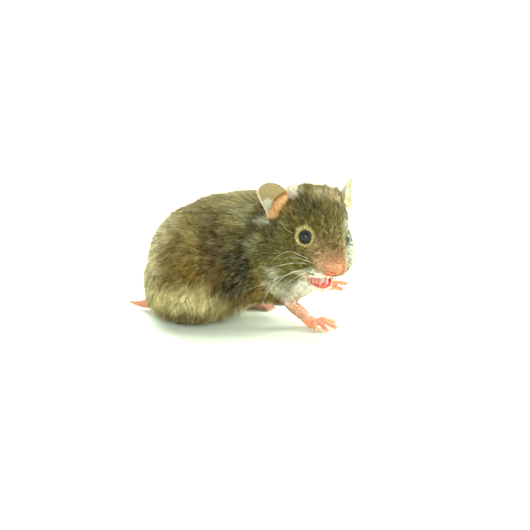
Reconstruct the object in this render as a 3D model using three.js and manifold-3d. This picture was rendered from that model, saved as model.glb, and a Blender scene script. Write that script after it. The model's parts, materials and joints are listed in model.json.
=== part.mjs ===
// A Syrian hamster at life size, as a still museum model: squatting on its haunches, one forepaw planted,
// the other lifted under the chin, the head turned to its right with the mouth a little open.
// Millimetres, +Z up, +X along the trunk towards the breast, +Y to the animal's left.
// The outer surface of trunk and head is that of the coat's tips; paws, nose, ears and tail are bare skin.
import * as THREE from "three";
import { mergeVertices } from "three/addons/utils/BufferGeometryUtils.js";
import Module from "manifold-3d";

const wasm = await Module();
wasm.setup();

// Driving dimensions.
const backHeight = 58; // floor to the top of the back
const haunchWidth = 54;
const trunkLength = 78; // rump to breast
const headWidth = 38; // across the cheek pouches
const eyeHeight = 42.5; // floor to the line between the eyes
const eyeRadius = 3.3;
const earHeight = 13.5;
const earWidth = 13.5;
const pawLength = 10.6; // wrist to the tip of the longest toe
const toeRadius = 1.18;
const hindfootLength = 20;
const gap = 0.3; // between two nodes that touch
const floorLevel = 0;

const point = (x, y, z) => new THREE.Vector3(x, y, z);
const radians = THREE.MathUtils.degToRad;
const sides = { left: 1, right: -1 };

// Solids

// A closed three.js geometry as a solid for cutting and joining.
function solid(geometry) {
  geometry.deleteAttribute("normal");
  geometry.deleteAttribute("uv");
  const merged = mergeVertices(geometry, 1e-4);
  const made = new wasm.Manifold(
    new wasm.Mesh({
      numProp: 3,
      vertProperties: new Float32Array(merged.attributes.position.array),
      triVerts: new Uint32Array(merged.index.array),
    }),
  );
  return made;
}

// The largest closed surface of a solid, so that no loose scrap stays after a cut.
function largest(made) {
  return made.decompose().sort((a, b) => b.volume() - a.volume())[0];
}

function geometryOf(made) {
  const mesh = made.getMesh();
  const corners = new Float32Array(mesh.numVert * 3);
  for (let i = 0; i < mesh.numVert; i++) {
    corners.set(mesh.vertProperties.subarray(i * mesh.numProp, i * mesh.numProp + 3), i * 3);
  }
  const geometry = new THREE.BufferGeometry();
  geometry.setAttribute("position", new THREE.BufferAttribute(corners, 3));
  geometry.setIndex(new THREE.BufferAttribute(mesh.triVerts, 1));
  geometry.computeVertexNormals();
  return geometry;
}

function box(low, high) {
  const size = high.clone().sub(low);
  const middle = low.clone().add(high).multiplyScalar(0.5);
  return solid(new THREE.BoxGeometry(size.x, size.y, size.z).translate(middle.x, middle.y, middle.z));
}

// An ellipsoid in a frame, made `extra` larger all round.
function ellipsoid(at, half, frame = new THREE.Matrix4(), extra = 0, detail = 5) {
  const ball = new THREE.IcosahedronGeometry(1, detail);
  ball.scale(half.x + extra, half.y + extra, half.z + extra);
  ball.translate(at.x, at.y, at.z);
  return solid(ball.applyMatrix4(frame));
}

// Soft forms

// One rounded mass of the body: an ellipsoid of half-sizes `half`, and how softly it melts into the others.
function mass(at, half, melt, frame = new THREE.Matrix4(), tilt = 0) {
  const own = new THREE.Matrix4().makeRotationY(radians(tilt)).setPosition(at);
  return { inward: frame.clone().multiply(own).invert(), half, melt };
}

const local = point(0, 0, 0);

function distanceTo(one, place) {
  local.copy(place).applyMatrix4(one.inward).divide(one.half);
  const inUnits = local.length();
  const slope = local.divide(one.half).length();
  return slope < 1e-6 ? -one.half.z : (inUnits * (inUnits - 1)) / slope;
}

// Distance from `place` to the masses melted together; negative inside.
function distance(masses, place) {
  let found = 1e3;
  for (const one of masses) {
    const next = distanceTo(one, place);
    const overlap = Math.max(one.melt - Math.abs(found - next), 0) / one.melt;
    found = Math.min(found, next) - (overlap * overlap * one.melt) / 4;
  }
  return found;
}

// The skin round `centre`: the corners of an icosahedral sphere slide out along their rays until they leave
// the masses, `extra` mm beyond their surface.
function wrap(masses, centre, detail, reach, extra = 0) {
  const ball = new THREE.IcosahedronGeometry(1, detail);
  const corners = ball.attributes.position;
  const steps = 48;
  const ray = point(0, 0, 0);
  const probe = point(0, 0, 0);
  const outside = (along) => distance(masses, probe.copy(centre).addScaledVector(ray, along)) > extra;
  for (let i = 0; i < corners.count; i++) {
    ray.fromBufferAttribute(corners, i).normalize();
    let step = 1;
    while (step < steps && !outside((reach * step) / steps)) step++;
    let inner = (reach * (step - 1)) / steps;
    let outer = (reach * step) / steps;
    for (let halving = 0; halving < 12; halving++) {
      const middle = (inner + outer) / 2;
      if (outside(middle)) outer = middle;
      else inner = middle;
    }
    corners.setXYZ(i, ...probe.copy(centre).addScaledVector(ray, inner));
  }
  return solid(ball);
}

// A limb, toe or tail: a sphere drawn out along a curve through `places`, `radii` thick there,
// `extra` more all round.
function drawnOut(places, radii, around = 12, rows = 14, extra = 0) {
  const path = new THREE.CatmullRomCurve3(places);
  const length = path.getLength();
  const first = radii[0] + extra;
  const last = radii[radii.length - 1] + extra;
  const full = first + length + last;
  const ball = new THREE.SphereGeometry(1, around, rows);
  const corners = ball.attributes.position;
  const start = path.getTangentAt(0);
  const aside = Math.abs(start.z) > 0.9 ? point(1, 0, 0) : point(0, 0, 1);
  for (let i = 0; i < corners.count; i++) {
    const row = Math.floor(i / (around + 1));
    const turn = ((i % (around + 1)) / around) * Math.PI * 2;
    // Rows are spaced evenly along, and closer in the two round ends.
    const spread = row / rows;
    const along = full * (spread - Math.sin(2 * Math.PI * spread) / (2 * Math.PI) * 0.6) - first;
    const share = THREE.MathUtils.clamp(along / length, 0, 1);
    const at = share * (radii.length - 1);
    const low = Math.min(Math.floor(at), radii.length - 2);
    let radius = THREE.MathUtils.lerp(radii[low], radii[low + 1], at - low) + extra;
    if (along < 0) radius = Math.sqrt(Math.max(first * first - along * along, 0));
    if (along > length) radius = Math.sqrt(Math.max(last * last - (along - length) ** 2, 0));
    const tangent = path.getTangentAt(share);
    const centre = path.getPointAt(share).addScaledVector(tangent, along - share * length);
    const across = point(0, 0, 0).crossVectors(aside, tangent).normalize();
    const over = point(0, 0, 0).crossVectors(tangent, across);
    centre.addScaledVector(across, radius * Math.cos(turn)).addScaledVector(over, -radius * Math.sin(turn));
    corners.setXYZ(i, centre.x, centre.y, centre.z);
  }
  return solid(ball);
}

// Trunk

const trunkScale = point(trunkLength / 78, haunchWidth / 54, backHeight / 58);
const trunkMass = (x, y, z, a, b, c, melt, tilt) =>
  mass(point(x, y, z).multiply(trunkScale), point(a, b, c).multiply(trunkScale), melt, undefined, tilt);

const trunk = [
  trunkMass(-5.5, 0, 24, 25, 25, 26.5, 6), // rump
  trunkMass(-7, 0, 16, 24.3, 25, 16.8, 6), // seat
  trunkMass(10, 0, 32.5, 26.5, 23, 24.5, 8), // back
  trunkMass(25, -1, 36, 19, 20, 22.5, 8), // shoulders
  trunkMass(31, -2, 24, 13, 15, 15, 8), // breast
  trunkMass(-21, 0, 8, 11, 14, 8.5, 5), // root of the tail
  trunkMass(-9.5, -12, 18.5, 19, 15, 19, 5), // right haunch
  trunkMass(-5, 12, 18.5, 19, 15, 19, 5), // left haunch
];
const neckMasses = [
  mass(point(37, -4, 38), point(17, 17.5, 19), 8),
  mass(point(40, -5, 30), point(12, 14, 14), 8),
];

// Head

// Origin between the eyes, +X along the snout, +Y to the animal's left.
const headFrame = new THREE.Matrix4()
  .makeTranslation(52, -14.5, eyeHeight)
  .multiply(new THREE.Matrix4().makeRotationZ(radians(-54)))
  .multiply(new THREE.Matrix4().makeRotationY(radians(14)))
  .multiply(new THREE.Matrix4().makeRotationX(radians(-8)));
const inHead = (x, y, z) => point(x, y, z).applyMatrix4(headFrame);

const headScale = headWidth / 38;
const headMass = (x, y, z, a, b, c, melt, tilt) => {
  const at = point(x, y, z).multiplyScalar(headScale);
  return mass(at, point(a, b, c).multiplyScalar(headScale), melt, headFrame, tilt);
};

const headMasses = [
  headMass(-14, 0, 2, 17, 15.3, 14.5, 5), // crown
  headMass(-4, 0, 3, 12, 9.8, 9.5, 5), // forehead
  headMass(5, 0, -1.5, 11.5, 6.6, 5.8, 5, 12), // bridge of the nose
  headMass(10.6, 0, -6.6, 8, 6, 5.2, 3), // muzzle
  headMass(-6, 0, -12, 12, 10, 8, 4), // throat
];
for (const side of Object.values(sides)) {
  headMasses.push(headMass(10, 3.8 * side, -8.6, 6, 3.8, 4.2, 2)); // whisker pad
  headMasses.push(headMass(-3.5, 7.4 * side, -9.8, 12.5, 9, 8.4, 3.5)); // cheek
  headMasses.push(headMass(-14, 9.5 * side, -8, 12, 9.5, 11, 5)); // pouch
}
headMasses.push(headMass(4.5, -1.5, -16.3, 9.7, 6.4, 4.2, 3, 14)); // chin

// Whole animal, parted with thin cuts

const flesh = [...trunk, ...neckMasses, ...headMasses];

// All that lies beyond a plane through `at` facing `facing`, from `start` mm past it.
function beyond(at, facing, start = 0) {
  const turn = new THREE.Quaternion().setFromUnitVectors(point(1, 0, 0), facing.clone().normalize());
  const slab = new THREE.BoxGeometry(150, 240, 240).translate(75 + start, 0, 0);
  return solid(slab.applyQuaternion(turn).translate(at.x, at.y, at.z));
}

const underFloor = box(point(-90, -90, -60), point(90, 90, floorLevel));
const headForward = point(1, 0, 0).transformDirection(headFrame);
const headUp = point(0, 0, 1).transformDirection(headFrame);
const backPlane = [point(27, -1, 38), point(0.95, -0.28, 0.1)];
const facePlane = [inHead(-21, 0, 0), headForward.clone().addScaledVector(headUp, 0.3)];
const behind = (plane, start) => beyond(plane[0], plane[1].clone().negate(), start);

const wholeTrunk = wrap([...trunk, ...neckMasses], point(3, 0, 27), 9, 62).subtract(underFloor);
const wholeNeck = wrap(flesh, point(37, -5, 37), 8, 42).subtract(underFloor);
let head = wrap(flesh, inHead(-4, 0, -5), 11, 46)
  .subtract(behind(facePlane, -gap / 2))
  .subtract(behind(backPlane, -gap / 2));
let torso = wholeTrunk.subtract(beyond(...backPlane, -gap / 2));
let neck = wholeNeck.subtract(behind(backPlane, -gap / 2)).subtract(beyond(...facePlane, -gap / 2));

// Mouth and nose

const jawHalf = point(11, 6.6, 5.6);
const jawLens = (extra) => ellipsoid(point(5, -1.5, -19), jawHalf, headFrame, extra, 4);
const mouthHalf = point(9.4, 5.7, 1.9);
const mouthAt = point(7.8, -1.5, -16);
const mouthOpening = (extra) => ellipsoid(mouthAt, mouthHalf, headFrame, extra, 4);
let jaw = head.intersect(jawLens(0)).subtract(mouthOpening(0));
head = head.subtract(jawLens(gap)).subtract(mouthOpening(0));
const tongue = ellipsoid(mouthAt.clone().add(point(-2.6, 0, -0.3)), point(5.4, 3.6, 1.15), headFrame, 0, 3);
const incisors = (extra = 0) => {
  const [left, right] = [0.62, -0.62].map((aside) => {
    const across = aside - 1;
    const places = [inHead(8.4, across, -19.7), inHead(10.6, across, -18.5), inHead(11.6, across, -16.4)];
    return drawnOut(places, [0.7, 0.6, 0.4], 6, 6, extra);
  });
  return left.add(right);
};
jaw = jaw.subtract(incisors(gap));
const cleft = solid(
  new THREE.BoxGeometry(9, 0.5, 5).translate(18, -0.6, -10.6).applyMatrix4(headFrame),
);
head = head.subtract(cleft);

const nosePad = (extra) => ellipsoid(point(16.9, -0.8, -6.2), point(2.6, 2.8, 2.4), headFrame, extra, 2);
const nostril = (side) => {
  const places = [[19.4, 0.9, -6.6], [18.4, 1.9, -7], [17.4, 2.7, -6.2]];
  return drawnOut(places.map(([x, y, z]) => inHead(x, y * side - 0.8, z)), [0.5, 0.55, 0.4], 6, 6);
};
const nose = nosePad(0).subtract(nostril(1)).subtract(nostril(-1));
head = head.subtract(nosePad(gap));

// Eyes

const eyes = {};
for (const [name, side] of Object.entries(sides)) {
  const at = point(0.8, 8.7 * side, 0.4);
  const axis = point(Math.cos(radians(51)), Math.sin(radians(51)) * side, 0.2).normalize();
  const turn = new THREE.Quaternion().setFromUnitVectors(point(0, 0, 1), axis);
  const ballHalf = point(eyeRadius, eyeRadius, eyeRadius);
  const rim = new THREE.TorusGeometry(eyeRadius + 0.2, 0.75, 6, 18).applyQuaternion(turn);
  rim.translate(at.x, at.y, at.z);
  rim.translate(axis.x * 1.5, axis.y * 1.5, axis.z * 1.5);
  const outward = at.clone().addScaledVector(axis, 7);
  const along = [at.clone(), outward].map((one) => one.applyMatrix4(headFrame));
  const hole = drawnOut(along, [2.9, 2.9], 16, 5);
  head = head.subtract(hole).add(solid(rim.applyMatrix4(headFrame)));
  head = head.subtract(ellipsoid(at, ballHalf, headFrame, gap, 3));
  eyes[name] = ellipsoid(at, ballHalf, headFrame, 0, 3);
}

// Ears

// The leaf of the right ear, seen from the front: its middle, and how far the rim is from there every 20 degrees,
// starting at the inner edge. The pointed corner is the low back one. The left ear is its mirror image.
const earMiddle = { across: 1, up: 6.6 };
const earReach = [6, 6.2, 6.5, 7.1, 7.5, 7.4, 6.1, 5.5, 5.4, 6.3, 8.4, 8.2, 6.1, 5.7, 5.7, 6, 6.3, 6];

function rimAt(round) {
  const at = ((radians(360) + round) / radians(20)) % earReach.length;
  const low = Math.floor(at) % earReach.length;
  return THREE.MathUtils.lerp(earReach[low], earReach[(low + 1) % earReach.length], at % 1);
}

// A pinna: a flattened ball with a blunt rim, cupped forward, its lower edges curling towards each other.
function pinna(root, upward, facing, mirror, extra = 0) {
  const up = upward.clone().normalize();
  const front = facing.clone().addScaledVector(up, -facing.dot(up)).normalize();
  const across = point(0, 0, 0).crossVectors(up, front).multiplyScalar(mirror);
  const leaf = new THREE.SphereGeometry(1, 24, 10);
  leaf.rotateX(Math.PI / 2);
  if (mirror < 0) leaf.scale(-1, 1, 1);
  const corners = leaf.attributes.position;
  for (let i = 0; i < corners.count; i++) {
    const out = Math.hypot(corners.getX(i), corners.getY(i));
    const round = Math.atan2(corners.getY(i), corners.getX(i));
    const reach = out * (rimAt(round) + extra);
    const u = ((earMiddle.across + reach * Math.cos(round)) * earWidth) / 13.5;
    const v = ((earMiddle.up + reach * Math.sin(round)) * earHeight) / 13.5;
    const low = THREE.MathUtils.clamp(1 - v / earHeight, 0, 1);
    const thick = (0.55 + 0.35 * low + extra) * Math.sqrt(Math.max(1 - out ** 6, 0));
    const cup = 2.6 * out * out * (0.35 + 0.65 * low) + low * low * 1.6 * (u / 6.3) ** 2 - 1.2 * low;
    const w = cup + Math.sign(corners.getZ(i)) * thick;
    const place = root.clone().addScaledVector(up, v);
    place.addScaledVector(across, u).addScaledVector(front, w).applyMatrix4(headFrame);
    corners.setXYZ(i, place.x, place.y, place.z);
  }
  return solid(leaf);
}

const ears = {};
const earPose = {
  right: [point(-14, -14.3, 6.6), point(-0.5, -0.79, 0.3), point(0.84, -0.33, 0.43), 1],
  left: [point(-14, 12.3, 8.1), point(-0.3, 0.2, 0.93), point(0.68, 0.72, 0.1), -1],
};
for (const name of Object.keys(sides)) {
  ears[name] = pinna(...earPose[name]);
  head = head.subtract(pinna(...earPose[name], gap));
  neck = neck.subtract(pinna(...earPose[name], gap));
}

// Legs, paws and tail

// A paw is a palm, and toes that each run from it over a knuckle to a claw.
function toe(from, to, lift, radius, extra = 0) {
  const over = from.clone().lerp(to, 0.45);
  over.z += lift;
  const claw = to.clone().sub(over).normalize();
  const tip = to.clone().addScaledVector(claw, 1.5);
  tip.z = Math.max(tip.z - 0.5, 0.5);
  const made = drawnOut([from, over, to], [radius * 0.95, radius, radius * 0.85], 6, 6, extra);
  return made.add(drawnOut([over.clone().lerp(to, 0.7), to, tip], [0.45, 0.4, 0.15], 4, 4, extra));
}

function forepaw(palm, toes, lift, extra = 0) {
  let made = drawnOut(palm, [2.4, 2.9], 10, 7, extra);
  for (const [from, to] of toes) made = made.add(toe(from, to, lift, toeRadius, extra));
  return made;
}

// The right forepaw is planted with its toes spread.
const rightPalm = [point(43.5, -8.6, 3.4), point(46.2, -8, 2.4)];
const rightToes = [[-68, 0.72], [-40, 0.92], [-8, 0.98], [38, 1]].map(([heading, reach]) => {
  const ahead = point(Math.cos(radians(heading)), Math.sin(radians(heading)), 0);
  const from = rightPalm[1].clone().addScaledVector(ahead, 1.2).add(point(0, 0, -0.2));
  return [from, rightPalm[1].clone().addScaledVector(ahead, reach * pawLength).add(point(0, 0, -1.1))];
});
const rightPaw = (extra = 0) => forepaw(rightPalm, rightToes, 1.3, extra);

// The left one hangs lifted under the chin with its palm turned in, so that its toes lie one above the other.
const leftPalm = [point(47.8, 8.8, 15.3), point(50.6, 9, 15)];
const leftToes = [
  [point(51.3, 8.2, 15.9), point(57.3, 8.4, 16.4)],
  [point(50.6, 8, 13.5), point(54.8, 8.1, 13.7)],
  [point(51.3, 10.6, 15.5), point(56.3, 11.2, 15.8)],
  [point(50.4, 10.4, 13.6), point(53.8, 10.9, 13.2)],
];
const leftPaw = (extra = 0) => forepaw(leftPalm, leftToes, 0.4, extra);

const rightLeg = (extra = 0) => {
  const places = [point(31, -11, 22), point(37.5, -11, 10.8), point(43.5, -8.9, 4.4)];
  return drawnOut(places, [7, 3.4, 2.5], 12, 10, extra);
};
const leftLeg = (extra = 0) => {
  const places = [point(31, 10, 24), point(38, 10.5, 14), point(47.5, 8.8, 15.3)];
  return drawnOut(places, [7, 3.8, 2.4], 12, 10, extra);
};

function hindfoot(heel, heading, extra = 0) {
  const ahead = (along, aside, z) => {
    const way = radians(heading);
    return point(
      heel.x + along * Math.cos(way) - aside * Math.sin(way),
      heel.y + along * Math.sin(way) + aside * Math.cos(way),
      z,
    );
  };
  let made = drawnOut([ahead(0, 0, 2.2), ahead(6, 0, 2.4), ahead(12, 0, 2.2)], [2.6, 2.9, 2.9], 9, 6, extra);
  const toes = [-3, -1.5, 0, 1.5, 3];
  for (let i = 0; i < toes.length; i++) {
    const long = hindfootLength - 1.5 - 0.7 * Math.abs(toes[i]);
    made = made.add(toe(ahead(12, toes[i] * 0.6, 2), ahead(long, toes[i] * 1.15, 1.1), 0.7, 0.95, extra));
  }
  return made;
}
const feet = {
  left: (extra = 0) => hindfoot(point(4.5, 13.5, 0), 2, extra),
  right: (extra = 0) => hindfoot(point(-17.5, -11.5, 0), -3, extra),
};

const haunchLens = (side, extra = 0) =>
  ellipsoid(point(side > 0 ? -5.5 : -10, 21 * side, 20), point(24, 13, 24), undefined, extra, 4);

const tailPath = [[-26, 4.8], [-31, 3.6], [-35, 2.9], [-38.8, 2.7], [-42.3, 3.2]].map(([x, z]) => point(x, 0, z));
const tailSolid = (extra = 0) => drawnOut(tailPath, [3, 2.6, 2.05, 1.25, 0.45], 10, 10, extra);

const forelegs = { left: leftLeg, right: rightLeg };
const forepaws = { left: leftPaw, right: rightPaw };
const nodes = {};

const haunches = {};
for (const [name, side] of Object.entries(sides)) {
  haunches[name] = torso.intersect(haunchLens(side));
  torso = torso.subtract(haunchLens(side, gap));
}
for (const name of Object.keys(sides)) {
  const foot = feet[name](gap);
  torso = torso.subtract(foot);
  haunches.left = haunches.left.subtract(foot);
  haunches.right = haunches.right.subtract(foot);
  const leg = forelegs[name](gap);
  const paw = forepaws[name](gap);
  torso = torso.subtract(leg).subtract(paw);
  neck = neck.subtract(leg).subtract(paw);
  head = head.subtract(leg).subtract(paw);
  jaw = jaw.subtract(leg).subtract(paw);
}
torso = torso.subtract(tailSolid(gap));

nodes.torso = [torso, "coat"];
nodes.neck = [neck, "coat"];
nodes.head = [head, "coat"];
nodes.lower_jaw = [jaw, "coat"];
nodes.nose = [nose, "skin"];
nodes.tongue = [tongue, "mouth"];
nodes.incisors = [incisors(), "tooth"];
for (const name of Object.keys(sides)) {
  nodes[`eye_${name}`] = [eyes[name], "eye"];
  nodes[`ear_${name}`] = [ears[name], "skin"];
  nodes[`haunch_${name}`] = [haunches[name], "coat"];
  nodes[`foreleg_${name}`] = [forelegs[name]().subtract(forepaws[name](gap)), "coat"];
  nodes[`forepaw_${name}`] = [forepaws[name]().subtract(underFloor), "skin"];
  nodes[`hindfoot_${name}`] = [feet[name]().subtract(underFloor), "skin"];
}
nodes.tail = [tailSolid().subtract(underFloor), "skin"];

// Export

const looks = {
  coat: { color: 0x8c8050, roughness: 0.9 },
  skin: { color: 0xe8b091, roughness: 0.6 },
  eye: { color: 0x14100e, roughness: 0.1 },
  mouth: { color: 0xc2514c, roughness: 0.35 },
  tooth: { color: 0xe8b04e, roughness: 0.4 },
};

const hamster = new THREE.Group();
for (const [name, [made, look]] of Object.entries(nodes)) {
  const material = new THREE.MeshStandardMaterial({ ...looks[look], metalness: 0 });
  const mesh = new THREE.Mesh(geometryOf(largest(made)), material);
  mesh.name = name;
  hamster.add(mesh);
}

// The origin goes to the floor, under the middle of the animal's box.
const bounds = new THREE.Box3().setFromObject(hamster);
const middle = bounds.getCenter(point(0, 0, 0));
for (const mesh of hamster.children) mesh.geometry.translate(-middle.x, -middle.y, -bounds.min.z);

export default hamster;
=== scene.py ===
import json
import math

import bmesh
import bpy
import numpy as np
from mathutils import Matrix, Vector
from mathutils.kdtree import KDTree

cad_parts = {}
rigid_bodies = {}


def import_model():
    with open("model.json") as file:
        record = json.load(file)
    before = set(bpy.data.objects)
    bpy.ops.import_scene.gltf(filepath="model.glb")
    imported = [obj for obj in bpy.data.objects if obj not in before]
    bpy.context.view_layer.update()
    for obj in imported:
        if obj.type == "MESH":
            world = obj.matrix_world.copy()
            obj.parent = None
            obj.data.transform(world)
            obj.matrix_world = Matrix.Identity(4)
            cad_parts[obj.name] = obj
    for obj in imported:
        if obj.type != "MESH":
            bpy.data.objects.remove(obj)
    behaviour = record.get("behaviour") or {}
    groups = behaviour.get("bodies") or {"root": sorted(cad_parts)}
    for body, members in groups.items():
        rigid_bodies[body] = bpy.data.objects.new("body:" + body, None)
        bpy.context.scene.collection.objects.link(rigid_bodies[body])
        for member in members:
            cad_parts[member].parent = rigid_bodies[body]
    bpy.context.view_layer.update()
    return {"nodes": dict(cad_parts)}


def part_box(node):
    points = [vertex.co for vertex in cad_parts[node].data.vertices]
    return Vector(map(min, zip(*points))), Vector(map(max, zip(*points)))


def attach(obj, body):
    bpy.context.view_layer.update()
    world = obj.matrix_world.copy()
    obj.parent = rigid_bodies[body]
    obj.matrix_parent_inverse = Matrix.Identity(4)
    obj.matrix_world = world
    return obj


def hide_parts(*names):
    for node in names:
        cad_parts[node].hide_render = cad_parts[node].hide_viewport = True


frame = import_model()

mm = 0.001
sides = {"right": -1, "left": 1}
random = np.random.default_rng(29)

# Working frames

# The head's own axes: forward along the snout, to the animal's left, and up. Origin between the eyes.
headPose = {"origin": (52, -14.5, 42.5), "turn": -54, "nod": 14, "lean": -8, "eye": (0.8, 8.7, 0.4)}


def turned(axis, degrees):
    # A rotation as three columns.
    c, s = math.cos(math.radians(degrees)), math.sin(math.radians(degrees))
    flat = {"x": ((1, 0, 0), (0, c, -s), (0, s, c)), "y": ((c, 0, s), (0, 1, 0), (-s, 0, c))}
    flat["z"] = ((c, -s, 0), (s, c, 0), (0, 0, 1))
    return np.array(flat[axis], float)


headAxes = turned("z", headPose["turn"]) @ turned("y", headPose["nod"]) @ turned("x", headPose["lean"])
headOrigin = np.array(headPose["origin"], float)


def middleOf(node):
    low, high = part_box(node)
    return np.array((low + high) / 2) / mm


eyePlace = {name: np.array(headPose["eye"]) * (1, side, 1) for name, side in sides.items()}
shift = middleOf("eye_right") - (headAxes @ eyePlace["right"] + headOrigin)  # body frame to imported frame


def inHead(points):
    # Packed millimetres to the head's own axes.
    return (np.asarray(points, float) - shift - headOrigin) @ headAxes


def fromHead(points):
    return np.asarray(points, float) @ headAxes.T + headOrigin + shift


def fromBody(points):
    return np.asarray(points, float) + shift


# Small tools

def length(vectors):
    return np.linalg.norm(vectors, axis=-1)


def unit(vectors):
    return vectors / np.maximum(np.linalg.norm(vectors, axis=-1, keepdims=True), 1e-9)


def ease(value, low, high):
    share = np.clip((value - low) / (high - low), 0, 1)
    return share * share * (3 - 2 * share)


def blend(a, b, share):
    share = np.asarray(share)
    if np.ndim(a) > 1 or np.ndim(b) > 1:
        share = share[:, None]
    return a * (1 - share) + b * share


def farOut(points, middle, half):
    # How far each point is from the middle of an ellipsoid: 1 at its surface.
    return length((points - np.array(middle, float)) / np.array(half, float))


def softSpot(points, middle, half):
    # 1 in the middle of an ellipsoid, fading to 0 at its surface.
    return 1 - ease(farOut(points, middle, half), 0.25, 1)


def ripple(points, size, seed):
    # Seven sine waves together: smooth waviness of about +-1 with humps `size` mm apart.
    draw = np.random.default_rng(seed)
    total = np.zeros(len(points))
    for _ in range(7):
        way = unit(draw.normal(size=3)) * 2 * math.pi / (size * draw.uniform(0.7, 1.5))
        total += np.sin(points @ way + draw.uniform(0, 6.28))
    return total / 2.6


def linear(code):
    # sRGB hex to the linear values that shaders take.
    parts = np.array([int(code[i:i + 2], 16) for i in (1, 3, 5)]) / 255
    return np.where(parts <= 0.04045, parts / 12.92, ((parts + 0.055) / 1.055) ** 2.4)


def ink(code):
    return (*linear(code), 1)


def linked(name, mesh):
    piece = bpy.data.objects.new(name, mesh)
    bpy.context.scene.collection.objects.link(piece)
    return piece


def meshOf(bm, name):
    mesh = bpy.data.meshes.new(name)
    bm.to_mesh(mesh)
    bm.free()
    return mesh


def meshFrom(bm, name):
    bmesh.ops.recalc_face_normals(bm, faces=bm.faces)
    mesh = meshOf(bm, name)
    mesh.shade_smooth()
    return mesh


def placesOf(bm):
    return np.array([vert.co for vert in bm.verts])


def moveTo(bm, points):
    for vert, place in zip(bm.verts, points):
        vert.co = Vector(place) * mm


def read(items, what, width, kind=np.float32):
    # A row of values from every item of a mesh.
    flat = np.empty(len(items) * width, kind)
    items.foreach_get(what, flat)
    return flat.reshape(-1, width)


def readPoints(mesh):
    return read(mesh.vertices, "co", 3).astype(float) / mm


def readNormals(mesh):
    return read(mesh.vertex_normals, "vector", 3).astype(float)


def readEdges(mesh):
    return read(mesh.edges, "vertices", 2, np.int32)


def readTriangles(mesh, what="vertices"):
    mesh.calc_loop_triangles()
    return read(mesh.loop_triangles, what, 3, np.int32)


def writePoints(mesh, points):
    mesh.vertices.foreach_set("co", (points * mm).astype(np.float32).ravel())
    mesh.update()


def nearestOf(places, points):
    # For each point, the index of the nearest place.
    tree = KDTree(len(places))
    for k, place in enumerate(places):
        tree.insert(place, k)
    tree.balance()
    return np.array([tree.find(point)[1] for point in points])


def neighbourMean(values, edges):
    count = len(values)
    total = np.empty_like(values)
    for column in range(values.shape[1]):
        line = values[:, column]
        total[:, column] = np.bincount(edges[:, 0], line[edges[:, 1]], count)
        total[:, column] += np.bincount(edges[:, 1], line[edges[:, 0]], count)
    degree = np.bincount(edges.ravel(), minlength=count)
    return total / np.maximum(degree, 1)[:, None]


def evened(values, edges, rounds):
    for _ in range(rounds):
        values = neighbourMean(values, edges)
    return values


def paint(mesh, name, colours):
    # A colour on every corner of the mesh, linear.
    layer = mesh.color_attributes.new(name, "FLOAT_COLOR", "POINT")
    full = np.ones((len(mesh.vertices), 4), np.float32)
    full[:, :3] = np.clip(colours, 0, 1)
    layer.data.foreach_set("color", full.ravel())


def number(mesh, name, values):
    layer = mesh.attributes.new(name, "FLOAT", "POINT")
    layer.data.foreach_set("value", np.asarray(values, np.float32))


def throughFour(a, b, c, d, t):
    # The Catmull-Rom curve from b to c.
    bend = (2 * a - 5 * b + 4 * c - d) * t ** 2
    return 0.5 * (2 * b + (c - a) * t + bend + (3 * b - a - 3 * c + d) * t ** 3)


def curvePoints(places, count):
    # Points evenly spaced in parameter along a smooth curve through the places, and their directions.
    places = np.array(places, float)
    ends = np.vstack([2 * places[0] - places[1], places, 2 * places[-1] - places[-2]])
    at = np.linspace(0, len(places) - 1, count)
    low = np.minimum(at.astype(int), len(places) - 2)
    line = throughFour(*(ends[low + k] for k in range(4)), (at - low)[:, None])
    return line, unit(np.gradient(line, axis=0))


def drawnOut(bm, places, radii, around=12, rows=14, flat=1.0):
    # A limb, toe, claw or whisker: a ball drawn out along a curve, `radii` thick at even steps of it.
    made = bmesh.ops.create_uvsphere(bm, u_segments=around, v_segments=rows, radius=1)["verts"]
    line, ways = curvePoints(places, 48)
    steps = np.concatenate([[0], np.cumsum(length(np.diff(line, axis=0)))])
    long, first, last = steps[-1], radii[0], radii[-1]
    crowded = 0.6  # how much closer together the rows are at the ends
    aside = np.array((1, 0, 0)) if abs(ways[0][2]) > 0.9 else np.array((0, 0, 1))
    for vert in made:
        down = math.acos(max(-1, min(1, vert.co.z))) / math.pi
        turn = math.atan2(vert.co.y, vert.co.x)
        wave = math.sin(2 * math.pi * down) / (2 * math.pi) * crowded
        along = (first + long + last) * (down - wave) - first
        share = min(max(along / long, 0), 1)
        centre = np.array([np.interp(share * long, steps, line[:, k]) for k in range(3)])
        way = unit(np.array([np.interp(share * long, steps, ways[:, k]) for k in range(3)]))
        radius = float(np.interp(share * (len(radii) - 1), range(len(radii)), radii))
        if along < 0:
            radius = math.sqrt(max(first ** 2 - along ** 2, 0))
        if along > long:
            radius = math.sqrt(max(last ** 2 - (along - long) ** 2, 0))
        across = unit(np.cross(aside, way))
        over = np.cross(way, across)
        place = centre + way * (along - share * long) + across * radius * math.cos(turn)
        vert.co = Vector(place + over * radius * flat * math.sin(turn)) * mm


def addNode(tree, kind, settings=None, links=None):
    # A shader node with its properties and inputs set by name, and its inputs linked from sockets.
    node = tree.nodes.new("ShaderNode" + kind)
    for name, value in (settings or {}).items():
        if isinstance(name, str) and hasattr(node, name):
            setattr(node, name, value)
        else:
            node.inputs[name].default_value = value
    for name, source in (links or {}).items():
        tree.links.new(source, node.inputs[name])
    return node


def newMaterial(name):
    # A material, its empty tree, and the socket that patterns take their place from.
    material = bpy.data.materials.new(name)
    material.use_nodes = True
    tree = material.node_tree
    tree.nodes.clear()
    return material, tree, addNode(tree, "TexCoord").outputs["Object"]


def surface(tree, settings, links):
    shader = addNode(tree, "BsdfPrincipled", settings, links)
    addNode(tree, "OutputMaterial", {}, {"Surface": shader.outputs["BSDF"]})


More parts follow.
